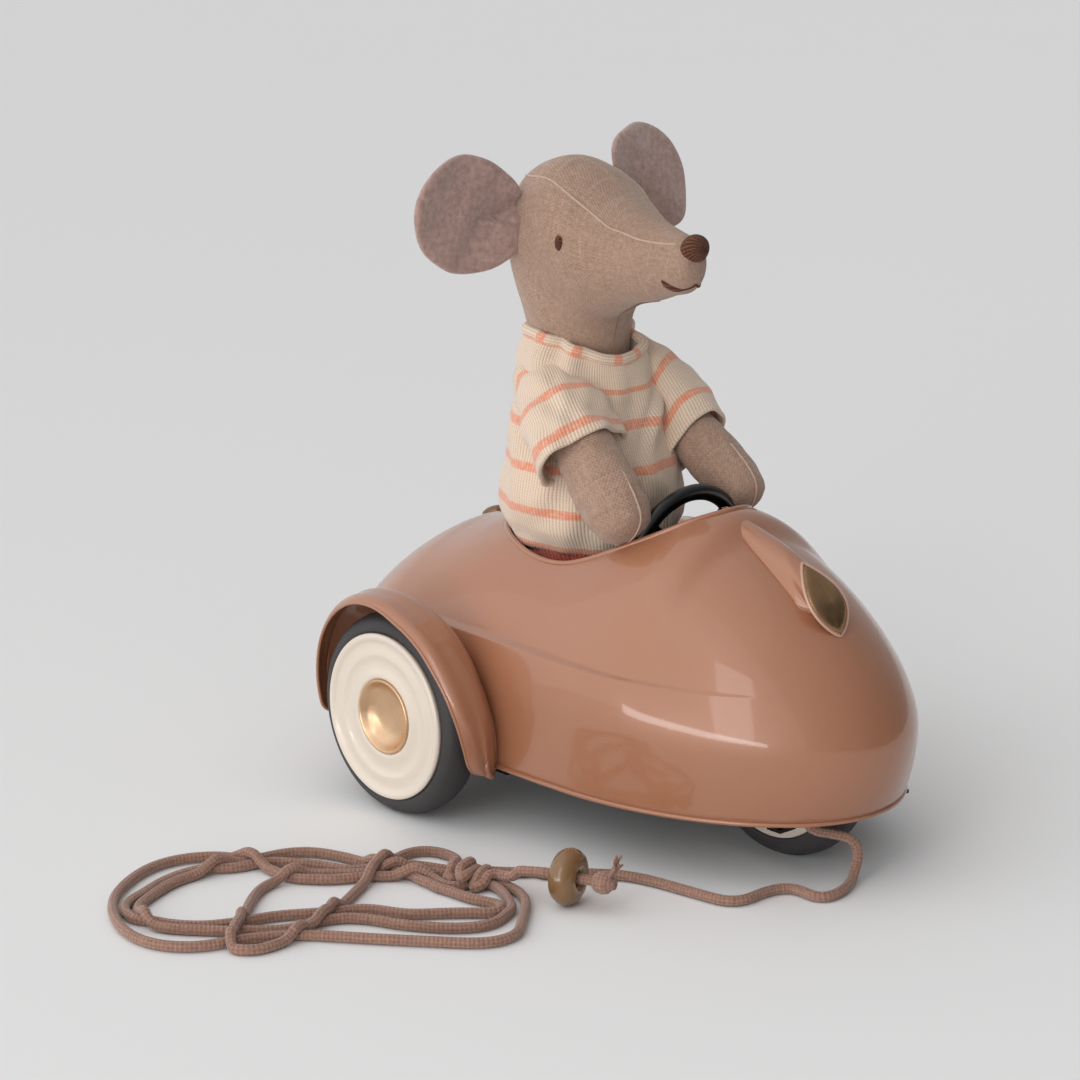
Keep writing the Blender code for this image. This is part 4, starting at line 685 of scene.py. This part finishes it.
# the lip round the lens uses the paler lacquer, a painted highlight on the rim
tube("lamp_lip", smooth_path(np.vstack([edge_line, edge_line[1:3]]), 0.6), 0.4, LIP, 10, "car", ())
loop = edge_line[:-1]
m0 = loop.mean(0)
lrows = []
for r in np.linspace(1.0, 0.0, 16):
    lrows.append(m0 + slope * 0.12 * (1 - r) + (loop - m0) * r * 0.97 + nrm * (1.9 * math.sqrt(max(0, 1 - r**1.8)) - 0.25))
lp, lf, lu = grid(lrows)
finish_mesh("lamp_lens", lp, lf, LENS, lu, "car", ("headlight_lens",))

# fenders
ARCH_T = (-20, 0, 20, 45, 70, 95, 120, 150, 175, 195)
ARCH_Y = (50.2, 53.6, 55.6, 56.8, 57.0, 56.0, 54.6, 53.0, 51.6, 50.6)
ARCH_R = (28.4, 27.9, 27.2, 26.6, 26.6, 27.6, 28.8, 29.3, 29.2, 28.6)
SEAM_R = (28.2, 26.3, 24.2, 21.6, 20.4, 21.4, 25.0, 29.2, 29.6, 29.0)
for side, label in ((-1, "right"), (1, "left")):
    frows, edge, seam = [], [], []
    for a in np.linspace(-20, 195, 120):
        y0, r0 = float(pchip(ARCH_T, ARCH_Y, a)), float(pchip(ARCH_T, ARCH_R, a))
        r3 = float(pchip(ARCH_T, SEAM_R, a))
        c, s = math.cos(math.radians(a)), math.sin(math.radians(a))
        x3, z3 = r3 * c, 25 + r3 * s
        if z3 > BELT_Z:
            q = (z3 - BELT_Z) / (float(crown(x3)) - BELT_Z)
            y3 = (1 - min(q, 0.999) ** 1.8) ** (1 / 1.8) * float(half_width(x3))
        else:
            y3 = float(half_width(x3))
        y3 += float(bulge(x3, z3)) + 0.15
        topr = max(r0, r3) + 1.3
        sec = np.array([(y0, r0), (y0 - 0.5, r0 + 0.9), (y0 - 1.9, r0 + 1.8), (y0 - 4.5, topr + 0.7), (47.5, topr + 0.9),
                        (44.0, max(26.6, 0.5 * (topr + r3) + 0.8)), (0.5 * (43.0 + y3), 0.45 * max(26.2, r3) + 0.55 * r3), (y3, r3)])
        sp = smooth_path(np.c_[sec, np.zeros(len(sec))], 0.35)[:, :2]
        k = np.linspace(0, len(sp) - 1, 34)
        sp = np.stack([np.interp(k, np.arange(len(sp)), sp[:, i]) for i in range(2)], 1)
        kk = float(np.clip((-11.0 - a) / 9.0, 0, 1) + np.clip((a - 188.0) / 7.0, 0, 1))
        sp[:, 0] = y3 + (sp[:, 0] - y3) * (1 - 0.42 * (1 - math.sqrt(max(0.0, 1 - kk * kk))))
        frows.append([(r * c, side * y, 25 + r * s) for y, r in sp])
    fp, ff, fu = grid(frows, closed=False)
    f = finish_mesh("fender_pressing_" + label, fp, ff, PAINT, fu, "car", ("fender_" + label,), fix=False)
    bm = bmesh.new()
    bm.from_mesh(f.data)
    hub = Vector(at((0, side * 47, 25)))
    if sum(1 if q.normal.dot(q.calc_center_median() - hub) < 0 else -1 for q in bm.faces) > 0:
        bmesh.ops.reverse_faces(bm, faces=bm.faces)
    bm.to_mesh(f.data)
    bm.free()
    solidify(f, 0.6)
    F = np.array(frows)
    tube("fender_edge_" + label, F[:, 0] + np.array([0, -side * 0.1, 0]), 0.42, PAINT, 10, "car", ())
    tube("fender_seam_" + label, F[:, -1] + np.array([0, 0, 0.0]), 0.3, PAINT, 8, "car", ())

# --------------------------------------------------------------------- wheels


def rounded(profile, step=0.25):
    p = np.array(profile, float)
    return smooth_path(np.c_[p, np.zeros(len(p))], step)[:, :2]


tyre_out = rounded([(19.9, 44.4), (21.3, 43.6), (23.5, 44.5), (24.7, 46.6), (25.0, 48.8), (24.7, 51.0), (23.6, 53.0), (22.0, 53.9), (20.9, 54.0), (20.4, 53.4)], 0.6)
disc_out = np.array([(20.3, 53.3), (20.6, 54.2), (20.5, 54.7), (20.0, 55.0), (19.2, 54.9), (18.4, 54.4), (17.4, 54.3), (16.2, 54.55), (15.2, 54.7), (14.4, 54.4),
                     (13.4, 54.15), (12.2, 54.25), (11.0, 54.6), (10.1, 54.8), (9.5, 54.6), (9.2, 54.1)])
disc_out = rounded(disc_out, 0.3)
hub_out = rounded([(9.3, 54.3), (9.15, 54.95), (8.7, 55.0), (8.2, 54.4), (7.2, 53.2), (5.6, 52.2), (3.6, 51.7), (1.6, 51.5), (0.0, 51.5)], 0.3)
for side, label in ((-1, "right"), (1, "left")):
    back_face = [(20.3, 53.3), (20.3, 44.6), (19.0, 44.4), (2.2, 44.6), (2.0, 45.0)]
    turned("tyre_" + label, np.vstack([tyre_out, tyre_out[:1]]), (0, 0, 25), TYRE, side, 160, "rear_wheels", ("rear_tyre_" + label,))
    turned("disc_" + label, np.vstack([np.array(back_face[::-1]), disc_out, [(9.2, 53.0), (2.0, 51.0)]]), (0, 0, 25), CREAM, side, 160, "rear_wheels", ("rear_wheel_disc_" + label,))
    turned("hub_dish_" + label, hub_out, (0, 0, 25), BRASS, side, 128, "rear_wheels", ("rear_hub_cap_" + label,))
ft = rounded([(19.9, 4.6), (21.5, 5.3), (23.6, 4.4), (24.8, 2.1), (25.0, 0), (24.8, -2.1), (23.6, -4.4), (21.5, -5.3), (19.9, -4.6), (19.9, 4.6)], 0.5)
turned("front_tyre_moulding", ft, (83, 0, 25), TYRE, 1, 160, "front_wheel", ("front_tyre",))
fd = rounded([(1.9, -4.6), (5.0, -4.6), (9.0, -5.4), (13, -5.3), (16.5, -5.6), (19.2, -5.3), (20.0, -4.6), (20.0, 4.6), (19.2, 5.3), (16.5, 5.6), (13, 5.3), (9.0, 5.4), (5.0, 4.6), (1.9, 4.6)], 0.5)
turned("front_disc_pressing", fd, (83, 0, 25), CREAM, 1, 160, "front_wheel", ("front_wheel_disc",))

# ------------------------------------------------------------ steering wheel
tilt = math.radians(8.0)
e_up, e_side = np.array([math.sin(tilt), 0, math.cos(tilt)]), np.array([0, 1.0, 0])
e_face = np.array([-math.cos(tilt), 0, math.sin(tilt)])
rc = np.array([47.5, 0, 64.5])
srows = []
for a in np.linspace(0, 2 * math.pi, 120, endpoint=False):
    d = e_side * math.cos(a) + e_up * math.sin(a)
    srows.append(oval(rc + d * 17.0, d * 2.0, e_face * 1.7, 20))
srows.append(srows[0])
sp_, sf_, su_ = grid(srows)
finish_mesh("wheel_ring", sp_, sf_, BLACK, su_, "steering", ("steering_wheel",))
hrows = [oval(rc + e_face * h, e_side * r, e_up * r, 64) for h, r in ((-1.3, 0.01), (-1.3, 8.0), (-0.9, 8.6), (0.6, 8.7), (1.2, 8.3), (1.5, 7.4), (1.9, 5.2), (2.3, 2.6), (2.4, 0.01))]
hp_, hf_, hu_ = grid(hrows)
finish_mesh("wheel_boss", hp_, hf_, BLACK, hu_, "steering", ())
for k, a in enumerate((32, 148, 270)):
    d = e_side * math.cos(math.radians(a)) + e_up * math.sin(math.radians(a))
    q = np.cross(e_face, d)
    rr = [oval(rc + d * r, q * w, e_face * 0.95, 24, 3.0) for r, w in ((6.5, 4.4), (9.0, 3.9), (11.5, 3.4), (14.0, 3.7), (16.5, 4.9))]
    a_, b_, c_ = grid(rr)
    finish_mesh(f"wheel_spoke_{k}", a_, b_, BLACK, c_, "steering", ())

# ----------------------------------------------------------------------- mouse


def crumple(rows, amount, seed, size=9.0):
    """Soft unevenness of a stuffed or worn cloth, the same each run."""
    r = np.random.RandomState(seed)
    k = r.normal(size=(10, 3)) / size * 2.2
    ph = r.rand(10) * 6.28
    out = []
    for row in rows:
        row = np.array(row, float)
        c = row.mean(0)
        d = row - c
        l = np.linalg.norm(d, axis=1)[:, None]
        w = sum(np.sin(row @ kk + p) for kk, p in zip(k, ph)) / 3.2
        out.append(row + d / np.maximum(l, 1e-6) * w[:, None] * amount * np.clip(l / 6, 0, 1))
    return out


# One soft form: the snout, the skull and the neck are rings that fan round the chin.
# Each ring is the lowest point, the highest point (both x, z) and its half width.
HEAD = (
    (51.6, 137.6, 51.6, 138.8, 0.05), (50.7, 132.2, 50.7, 141.4, 3.3), (48.2, 129.5, 47.8, 143.1, 5.2), (44.4, 128.4, 43.6, 143.9, 6.4), (38.4, 126.2, 37.6, 145.0, 8.5),
    (32.4, 124.6, 30.6, 147.4, 11.0), (28.4, 122.6, 23.6, 151.0, 13.5), (25.8, 121.2, 16.0, 155.1, 15.8), (24.3, 120.2, 8.5, 156.9, 16.6), (23.6, 119.3, 1.0, 154.8, 16.4),
    (23.4, 118.3, -4.6, 150.6, 15.9), (23.0, 117.1, -7.9, 143.6, 15.3), (22.7, 115.7, -8.3, 136.4, 14.5), (22.4, 113.9, -6.6, 129.4, 13.7), (22.3, 111.7, -4.2, 122.8, 12.9),
    (22.2, 109.0, -2.3, 116.6, 12.3), (22.2, 106.0, -1.3, 110.2, 12.0), (22.2, 102.5, -1.0, 104.5, 11.9))
hq = np.arange(len(HEAD))
hr = []
for q in np.linspace(0, len(HEAD) - 1, 130):
    lx, lz, tx, tz, w = (float(pchip(hq, [h[i] for h in HEAD], q)) for i in range(5))
    c0 = np.array([(lx + tx) / 2, 0, (lz + tz) / 2])
    hr.append(oval(c0, (0, w, 0), (np.array([tx, 0, tz]) - np.array([lx, 0, lz])) / 2, 72, 2.06))
hr = crumple(hr, 0.3, 3, 12)
a_, b_, c_ = grid(hr)
head = finish_mesh("head_and_neck_cloth", a_, b_, LINEN, c_, "mouse", ("mouse_head", "mouse_torso"))
HP = np.array(hr)


def on_head(x, z, side=1, out=0.1):
    """The point of the head's skin at x, z; side 1 is the car's right, which is negative y."""
    flat = HP.reshape(-1, 3)
    flat = flat[flat[:, 1] < 0.5]
    d = np.hypot(flat[:, 0] - x, flat[:, 2] - z)
    k = np.argsort(d)[:6]
    w = 1 / (d[k] + 0.05)
    y = float((flat[k, 1] * w).sum() / w.sum())
    return np.array([x, side * (y - out), z])


for side, label in ((1, "right"), (-1, "left")):
    seam = [on_head(x, z, side, 0.0) for x, z in ((-6.0, 148.5), (-1.5, 151.6), (3.3, 152.4), (7.7, 152.9), (12.2, 152.6), (19.6, 149.5), (24.3, 146.8), (29.6, 143.9), (33.1, 142.9), (37.6, 141.8), (42.7, 141.4), (47.2, 141.6))]
    # the gusset ridge is drawn paler than the head linen, a painted highlight on the raised seam
    tube("gusset_ridge_" + label, smooth_path(seam, 1.0), 0.27, RIDGE, 8, "mouse", ())
    er = []
    c0 = on_head(20.4, 139.6, side, 0.0)
    n_ = np.array([0.3, -0.95 * side, 0.1])
    n_ = n_ / np.linalg.norm(n_)
    tu = np.cross(n_, (0, 0, 1.0))
    tu /= np.linalg.norm(tu)
    for f, q in ((-0.3, 0.9), (0.15, 1.0), (0.45, 0.92), (0.7, 0.6), (0.78, 0.02)):
        er.append(oval(c0 + n_ * f, tu * 0.95 * q, np.array([0, 0, 1.85]) * q, 24))
    a_, b_, c_ = grid(er)
    finish_mesh("eye_stitch_" + label, a_, b_, THREAD, c_, "mouse", ())
    lip = smooth_path([on_head(45.0, 132.9, side), on_head(46.4, 131.6, side, 0.15), on_head(48.2, 130.9, side, 0.15), on_head(49.8, 131.3, side, 0.1), np.array([50.75, side * -0.2, 132.0])], 0.4)
    rr = np.interp(np.linspace(0, 1, len(lip)), (0, 0.15, 0.4, 0.6, 1.0), (0.3, 0.62, 0.72, 0.32, 0.26))
    tube("mouth_stitch_" + label, lip, rr, THREAD, 10, "mouse", ())
under = smooth_path([(q_[0], 0, q_[1]) for q_ in HEAD[4:]], 0.8) + np.array([-0.02, 0, 0.02])
tube("chin_seam", under, 0.2, SEAM, 8, "mouse", ())
nr = []
for t in np.linspace(-math.pi / 2, math.pi / 2, 20):
    nr.append(oval((50.1 + 3.1 * math.sin(t), 0, 140.5 + 0.3 * math.sin(t)), (0, 3.7 * math.cos(t) + 0.01, 0), (0, 0, 3.5 * math.cos(t) + 0.01), 36))
a_, b_, c_ = grid(crumple(nr, 0.15, 9, 3))
finish_mesh("nose_thread", a_, b_, THREAD, c_, "mouse", ("mouse_nose",))

# Ears: felt sheets, each an outline of (y, z) round a leaning, cupped plane.
NEAR = ((12.2, 148.6), (15.5, 153.0), (20.5, 157.0), (26.5, 159.3), (32.0, 158.8), (37.5, 156.3), (41.8, 152.0), (43.9, 146.6), (43.0, 141.2), (39.6, 136.0), (34.6, 132.2),
        (28.8, 130.7), (23.0, 131.2), (18.0, 133.2), (14.4, 135.6), (12.4, 138.6), (11.6, 143.6))
FAR = ((11.0, 151.6), (12.8, 156.6), (17.2, 160.2), (23.2, 161.6), (29.6, 160.4), (34.4, 156.6), (37.2, 150.6), (37.4, 144.6), (35.6, 139.6), (32.4, 136.6), (28.0, 135.4),
       (23.0, 135.6), (18.0, 137.0), (14.2, 139.4), (12.6, 142.4), (11.6, 147.0))
for side, label, line, lean, x0, cz in ((-1, "right", NEAR, 0.04, 0.4, 145.0), (1, "left", FAR, 0.3, 7.0, 148.5)):
    loop_ = np.array([(y, z, 0.0) for y, z in line])
    edge_ = smooth_path(np.vstack([loop_, loop_[:1]]), 0.9)[:-1, :2]
    k = np.linspace(0, len(edge_), 96, endpoint=False)
    edge_ = np.stack([np.interp(k, np.arange(len(edge_) + 1), np.r_[edge_[:, i], edge_[0, i]]) for i in range(2)], 1)
    cen = edge_.mean(0)

    def sheet(y, z, lift):
        u = (y - 11.5) / 32.0
        x = x0 + lean * (cz - z) + lift
        pinch = max(0.0, 1 - u * 2.2)
        fall = z - (144.6 - 2.0 * u - 26.0 * u * u)
        front = 1 / (1 + math.exp(min(40.0, max(-40.0, fall / 0.3))))
        x += (4.6 * front * math.exp(min(0.0, fall) / 6.0) - 1.6 * math.exp(-((fall - 1.5) / 2.5) ** 2) * (fall > 0)) * max(0.0, 1 - (u / 0.6) ** 2)
        x += 3.2 * pinch * min(1, abs(z - 144) / 9) + 1.6 * (u - 0.5) ** 2 * 2 - 2.2 * max(0, u - 0.55)
        x += 0.5 * math.sin(0.42 * y + 0.23 * z)
        return (x, side * y, z)

    rows = []
    for h, q in ((-1.0, 0.0), (-1.0, 0.25), (-1.0, 0.5), (-1.0, 0.72), (-1.0, 0.88), (-0.95, 0.96), (-0.6, 0.99), (0.0, 1.0), (0.6, 0.99), (0.95, 0.96), (1.0, 0.88), (1.0, 0.72), (1.0, 0.5), (1.0, 0.25), (1.0, 0.0)):
        q = max(q, 0.004)
        rows.append([sheet(*(cen + (e - cen) * q), h) for e in edge_])
    a_, b_, c_ = grid(rows)
    finish_mesh("ear_felt_" + label, a_, b_, FELT, c_, "mouse", ("mouse_ear_" + label,))

# shirt, with its rib running up and down
SHIRT = ((14.6, 63.4, 20.4, 17.6), (14.6, 66.0, 21.4, 19.4), (14.6, 70, 22.4, 21.4), (14.5, 76, 22.6, 21.8), (14.2, 83, 21.6, 20.6), (13.2, 91, 19.4, 18.6), (12.2, 99, 17.0, 17.4),
         (11.6, 105, 15.6, 16.8), (11.2, 109.5, 14.4, 15.6), (11.1, 113, 13.2, 13.8), (11.2, 115.4, 12.5, 12.6))
sz = [q[1] for q in SHIRT]


def droop(t, z):
    """How far a ring of the shirt hangs at its front, where the neckline gapes."""
    k = np.clip((z - 96.0) / 19.0, 0, 1)
    return np.maximum(0, np.cos(t)) ** 1.6 * k * k * (3 - 2 * k)


t = np.linspace(0, 2 * math.pi, 120, endpoint=False)
rows = []
for z in np.linspace(63.4, 115.4, 84):
    x, a, b = (float(pchip(sz, [q[i] for q in SHIRT], z)) for i in (0, 2, 3))
    row = oval((x, 0, z), (a, 0, 0), (0, b, 0), 120)
    fold = 0.6 * np.sin(5 * t + 0.12 * z) * math.exp(-((z - 88) / 14) ** 2) + 0.45 * np.sin(9 * t - 0.1 * z) * math.exp(-((z - 71) / 8) ** 2)
    fold += 0.9 * np.exp(-(((t - 5.0 + 0.035 * (z - 100)) / 0.22) ** 2)) * math.exp(-((z - 101) / 8) ** 2) + 0.9 * np.exp(-(((t - 1.25 - 0.035 * (z - 100)) / 0.22) ** 2)) * math.exp(-((z - 101) / 8) ** 2)
    up = float(np.clip((z - 104) / 8.0, 0, 1))
    for t0, w0, h0 in ((5.35, 0.2, 1.7), (4.85, 0.22, 1.5), (5.1, 0.12, -1.1), (0.75, 0.18, 1.3), (1.1, 0.15, -0.9), (1.45, 0.2, 1.2)):
        fold = fold + up * h0 * np.exp(-(((t - t0) / w0) ** 2))
    for t0, slope, z0, w0, zw, h0 in ((-0.55, -0.045, 96, 0.13, 8, 1.7), (-0.25, -0.05, 90, 0.12, 7, -1.3), (0.5, 0.05, 97, 0.13, 7, 1.6), (0.12, 0.04, 92, 0.12, 8, -1.3), (0.0, -0.03, 84, 0.14, 6, 1.2), (-1.4, 0.03, 76, 0.16, 6, 1.2)):
        tt = (t - (t0 + slope * (z - z0)) + math.pi) % (2 * math.pi) - math.pi
        fold = fold + h0 * np.exp(-((tt / w0) ** 2)) * math.exp(-(((z - z0) / zw) ** 2))
    d = row - np.array([x, 0, z])
    row = row + d / np.linalg.norm(d, axis=1)[:, None] * fold[:, None]
    hang = droop(t, z)
    row[:, 2] -= hang * 5.6
    row[:, 0] += hang * 2.2
    rows.append(row)
rows = crumple(rows, 0.75, 31, 7)
top_ring = rows[-1]
mid_ = top_ring.mean(0)
inner = [mid_ + (top_ring - mid_) * 0.95 + np.array([0, 0, -0.4]), mid_ + (top_ring - mid_) * 0.92 + np.array([0, 0, -3.5])]
hem_in = [np.array([14.6, 0, 0]) + (rows[0] - np.array([14.6, 0, 0])) * np.array([0.95, 0.95, 1.0]) + np.array([0, 0, h]) for h in (3.0, 0.3)]
a_, b_, c_ = grid(hem_in + rows + inner)
finish_mesh("shirt_knit", a_, b_, KNIT, c_, "mouse", ("mouse_shirt",))
band = top_ring + np.array([0, 0, -0.3])
tube("shirt_neckband", np.vstack([band, band[:2]]), 1.3, KNIT, 10, "mouse", (), caps=False)

SHORTS = ((12.4, 44.5, 14.8, 15.4), (13.2, 52, 17.6, 17.0), (14.2, 60, 19.4, 17.4), (14.6, 65.2, 20.0, 17.4))
rows = []
for z in np.linspace(44.5, 65.2, 30):
    x, a, b = (float(pchip([s[1] for s in SHORTS], [s[i] for s in SHORTS], z)) for i in (0, 2, 3))
    rows.append(oval((x, 0, z), (a, 0, 0), (0, b, 0), 96))
rows = crumple(rows, 0.4, 8, 6)
rows = [rows[0] * np.array([0.001, 0.001, 0]) + np.array([12.4, 0, 44.0])] + rows
a_, b_, c_ = grid(rows)
finish_mesh("shorts_twill", a_, b_, RED, c_, "mouse", ("mouse_shorts",))

NEAR_ARM = ((9.5, 13.2, 104.6), (16.0, 15.2, 101.6), (23.0, 16.4, 97.4), (30.3, 17.0, 91.8), (38.8, 18.0, 83.8), (45.6, 18.3, 76.8))
FAR_ARM = ((9.5, 13.2, 104.6), (16.0, 15.8, 101.2), (23.0, 17.4, 96.4), (30.0, 18.0, 90.6), (40.6, 18.0, 83.8), (48.3, 18.0, 78.6))
CUFF = {-1: ((26.8, 17.2, 87.6), (7.0, -7.0, 3.0), (3.4, 0.0, 8.4)), 1: ((32.4, 17.8, 88.6), (0.6, 8.6, 2.2), (3.4, 0.0, 7.8))}
for side, label, line in ((-1, "right", NEAR_ARM), (1, "left", FAR_ARM)):
    path = smooth_path([(p[0], side * p[1], p[2]) for p in line], 0.8)
    L = len(path)
    tan = np.gradient(path, axis=0)
    tan /= np.linalg.norm(tan, axis=1)[:, None]
    arm = []
    for i, (p, d) in enumerate(zip(path, tan)):
        q = i / (L - 1)
        u = np.array([0, 1.0, 0]) - d * d[1]
        u /= np.linalg.norm(u)
        v = np.cross(d, u)
        r = float(pchip((0, 0.3, 0.5, 0.8, 0.93, 1.0), (5.0, 6.2, 7.0, 8.1, 7.9, 7.3), q)) * (1.0 if side < 0 else 0.85)
        if q > 0.3:
            arm.append(oval(p, u * r, v * r, 48))
    last_ = arm[-1]
    arm.insert(0, np.repeat(arm[0].mean(0)[None], 48, 0))
    for h, f in ((1.6, 0.93), (3.0, 0.8), (4.1, 0.58), (4.7, 0.3), (4.9, 0.0)):
        arm.append(path[-1] + tan[-1] * h + (last_ - path[-1]) * f)
    a_, b_, c_ = grid(crumple(arm, 0.3, 11 + side, 5))
    o = finish_mesh("arm_cloth_" + label, a_, b_, LINEN, c_, "arm_" + label, ("mouse_arm_" + label,))
    A = np.array(arm)
    ridge = [A[j][36] for j in range(len(A) - 18, len(A))] + [A[j][12] for j in range(len(A) - 1, len(A) - 18, -1)]
    # the paw seam uses the pale ridge linen, a painted highlight on the raised seam
    tube("paw_seam_" + label, smooth_path(ridge, 0.8), 0.24, RIDGE, 8, "arm_" + label, ())
    # the sleeve: rings that turn from the shoulder to a loose, hanging cuff
    cc, ca, cb = (np.array(q_, float) for q_ in CUFF[side])
    cc, ca = cc * np.array([1, side, 1]), ca * (np.array([1, 1, 1]) if side > 0 else np.array([1, -1, 1]))
    top_c, top_b = np.array([11.0, side * 12.4, 104.4]), np.array([2.0, 0, 8.2])
    top_a = np.array([6.6, 3.4, 1.6]) if side < 0 else np.array([-5.0, 5.4, 0.6])
    slv, slv_in = [], []
    for q in np.linspace(0, 1, 34):
        e = q * q * (3 - 2 * q)
        c0 = top_c + (cc - top_c) * q + np.array([0, side * 1.6, 2.2]) * math.sin(math.pi * q)
        va, vb = top_a + (ca - top_a) * e, top_b + (cb - top_b) * e
        if side < 0:
            c0 = np.stack([pchip((0, 0.5, 1), w_, [q])[0] for w_ in ((9.0, 19.6, 28.6), (-10.4, -14.6, -17.0), (103.6, 98.4, 89.9))])
            dd = np.array([0.75, -0.5 * (1 - e), -0.66 + 0.2 * (1 - e)])
            dd /= np.linalg.norm(dd)
            va = np.array([0, 1.0, 0]) - dd * dd[1]
            va /= np.linalg.norm(va)
            vb = np.cross(dd, va)
            vb *= -1 if vb[2] < 0 else 1
            va, vb = va * (7.6 + 4.9 * e), vb * (8.8 + 2.0 * e)
        t_ = np.linspace(0, 2 * math.pi, 80, endpoint=False)
        wave = 1 + (0.035 * np.sin(3 * t_ + 1.0 + side) + 0.03 * np.sin(5 * t_ + 2.0 * q * 3)) * (0.3 + 0.7 * q)
        ring_ = c0 + np.outer(np.cos(t_) * wave, va) + np.outer(np.sin(t_) * wave, vb)
        ring_[:, 2] += 0.5 * np.sin(q * 11 + 2 * t_) * math.sin(math.pi * q)
        slv.append(ring_)
        slv_in.append(c0 + (ring_ - c0) * 0.9)
    slv = crumple(slv, 0.55, 40 + side, 6)
    slv_in = [q_.mean(0) + (q_ - q_.mean(0)) * 0.9 for q_ in slv]
    lipc = slv[-1].mean(0)
    go = (slv[-1].mean(0) - slv[-3].mean(0))
    go = go / np.linalg.norm(go)
    roll = [lipc + (slv[-1] - lipc) * f_ + go * h_ for f_, h_ in ((1.015, 0.5), (1.0, 0.95), (0.95, 1.1), (0.905, 0.8), (0.89, 0.2))]
    head_end = [slv[0].mean(0) + (slv[0] - slv[0].mean(0)) * 0.05 - np.array([2.6, side * 1.0, 0]), slv[0].mean(0) + (slv[0] - slv[0].mean(0)) * 0.7 - np.array([1.8, side * 0.6, 0])]
    a_, b_, c_ = grid(head_end + slv + roll + slv_in[::-1][2:])
    c_[:, 1] += 4.0
    finish_mesh("sleeve_knit_" + label, a_, b_, KNIT, c_, "arm_" + label, ("shirt_sleeve_" + label,))
    legp = smooth_path([(19, side * 8.6, 51.6), (26.0, side * 9.2, 52.6), (31.5, side * 9.6, 51.4), (34.6, side * 9.6, 46.5), (34.9, side * 9.6, 40), (34.8, side * 9.6, 33), (34.6, side * 9.6, 27.4)], 0.8)
    rr = [float(pchip((0, 0.1, 0.3, 0.6, 0.93, 1), (3.6, 4.9, 5.2, 5.4, 4.9, 2.8), q)) for q in np.linspace(0, 1, len(legp))]
    tube("leg_cloth_" + label, legp, rr, LINEN, 40, "mouse", ("mouse_leg_" + label,))
tail = smooth_path(((-6.4, 2, 50.5), (-8.2, 8, 47.0), (-5.8, 14, 43.6), (2, 18.6, 42.2), (10, 20.4, 42.0)), 0.7)
tube("tail_cloth", tail, 1.2, LINEN, 12, "mouse", ("mouse_tail",))

# ------------------------------------------------------------- floor and light
bpy.ops.mesh.primitive_plane_add(size=6, location=(0, 0, 0))
floor = bpy.context.active_object
floor.name = "floor"
fn = Nodes("floor_paper")
fn.link(fn.mix(fn.noise(fn.coord(), 3, 2), srgb(239, 239, 239), srgb(237, 237, 237)), fn.p.inputs["Base Color"])
fn.put(Roughness=0.95, Specular_IOR_Level=0.1)
floor.data.materials.append(fn.mat)
world = bpy.data.worlds.new("studio")
bpy.context.scene.world = world
world.use_nodes = True
wt = world.node_tree
wt.nodes["Background"].inputs[0].default_value = (1, 1, 1, 1)
wc, wd, wm = wt.nodes.new("ShaderNodeTexCoord"), wt.nodes.new("ShaderNodeVectorMath"), wt.nodes.new("ShaderNodeMapRange")
wd.operation = "DOT_PRODUCT"
wd.inputs[1].default_value = (-0.66, -0.7, 0.27)
for i, v in ((1, -0.9), (2, 0.5), (3, 0.12), (4, 0.84)):
    wm.inputs[i].default_value = v
wt.links.new(wc.outputs["Generated"], wd.inputs[0])
wt.links.new(wd.outputs["Value"], wm.inputs[0])
wt.links.new(wm.outputs[0], wt.nodes["Background"].inputs[1])


def area(name, loc, size, power, target=(0, 0, 0.06)):
    light = bpy.data.lights.new(name, "AREA")
    light.shape = "RECTANGLE"
    light.size, light.size_y = size
    light.energy = power
    o = bpy.data.objects.new(name, light)
    bpy.context.scene.collection.objects.link(o)
    o.location = loc
    o.rotation_euler = (Vector(loc) - Vector(target)).to_track_quat("Z", "Y").to_euler()
    return o


def sun(name, way, strength, spread):
    light = bpy.data.lights.new(name, "SUN")
    light.energy = strength
    light.angle = math.radians(spread)
    o = bpy.data.objects.new(name, light)
    bpy.context.scene.collection.objects.link(o)
    o.rotation_euler = Vector(way).to_track_quat("Z", "Y").to_euler()
    return o


# broad, far soft light: even over the whole floor
sun("top_soft", (-0.2, -0.3, 1.0), 0.12, 60)
sun("side_soft", (-0.12, -1.0, 0.12), 0.72, 120)
area("panel", (0.38, -0.95, 0.48), (0.32, 0.95), 1.9)
area("low_fill", (0.12, -0.72, 0.045), (0.7, 0.06), 0.8, (0, 0, 0.11))
bpy.context.scene.view_settings.view_transform = "Standard"
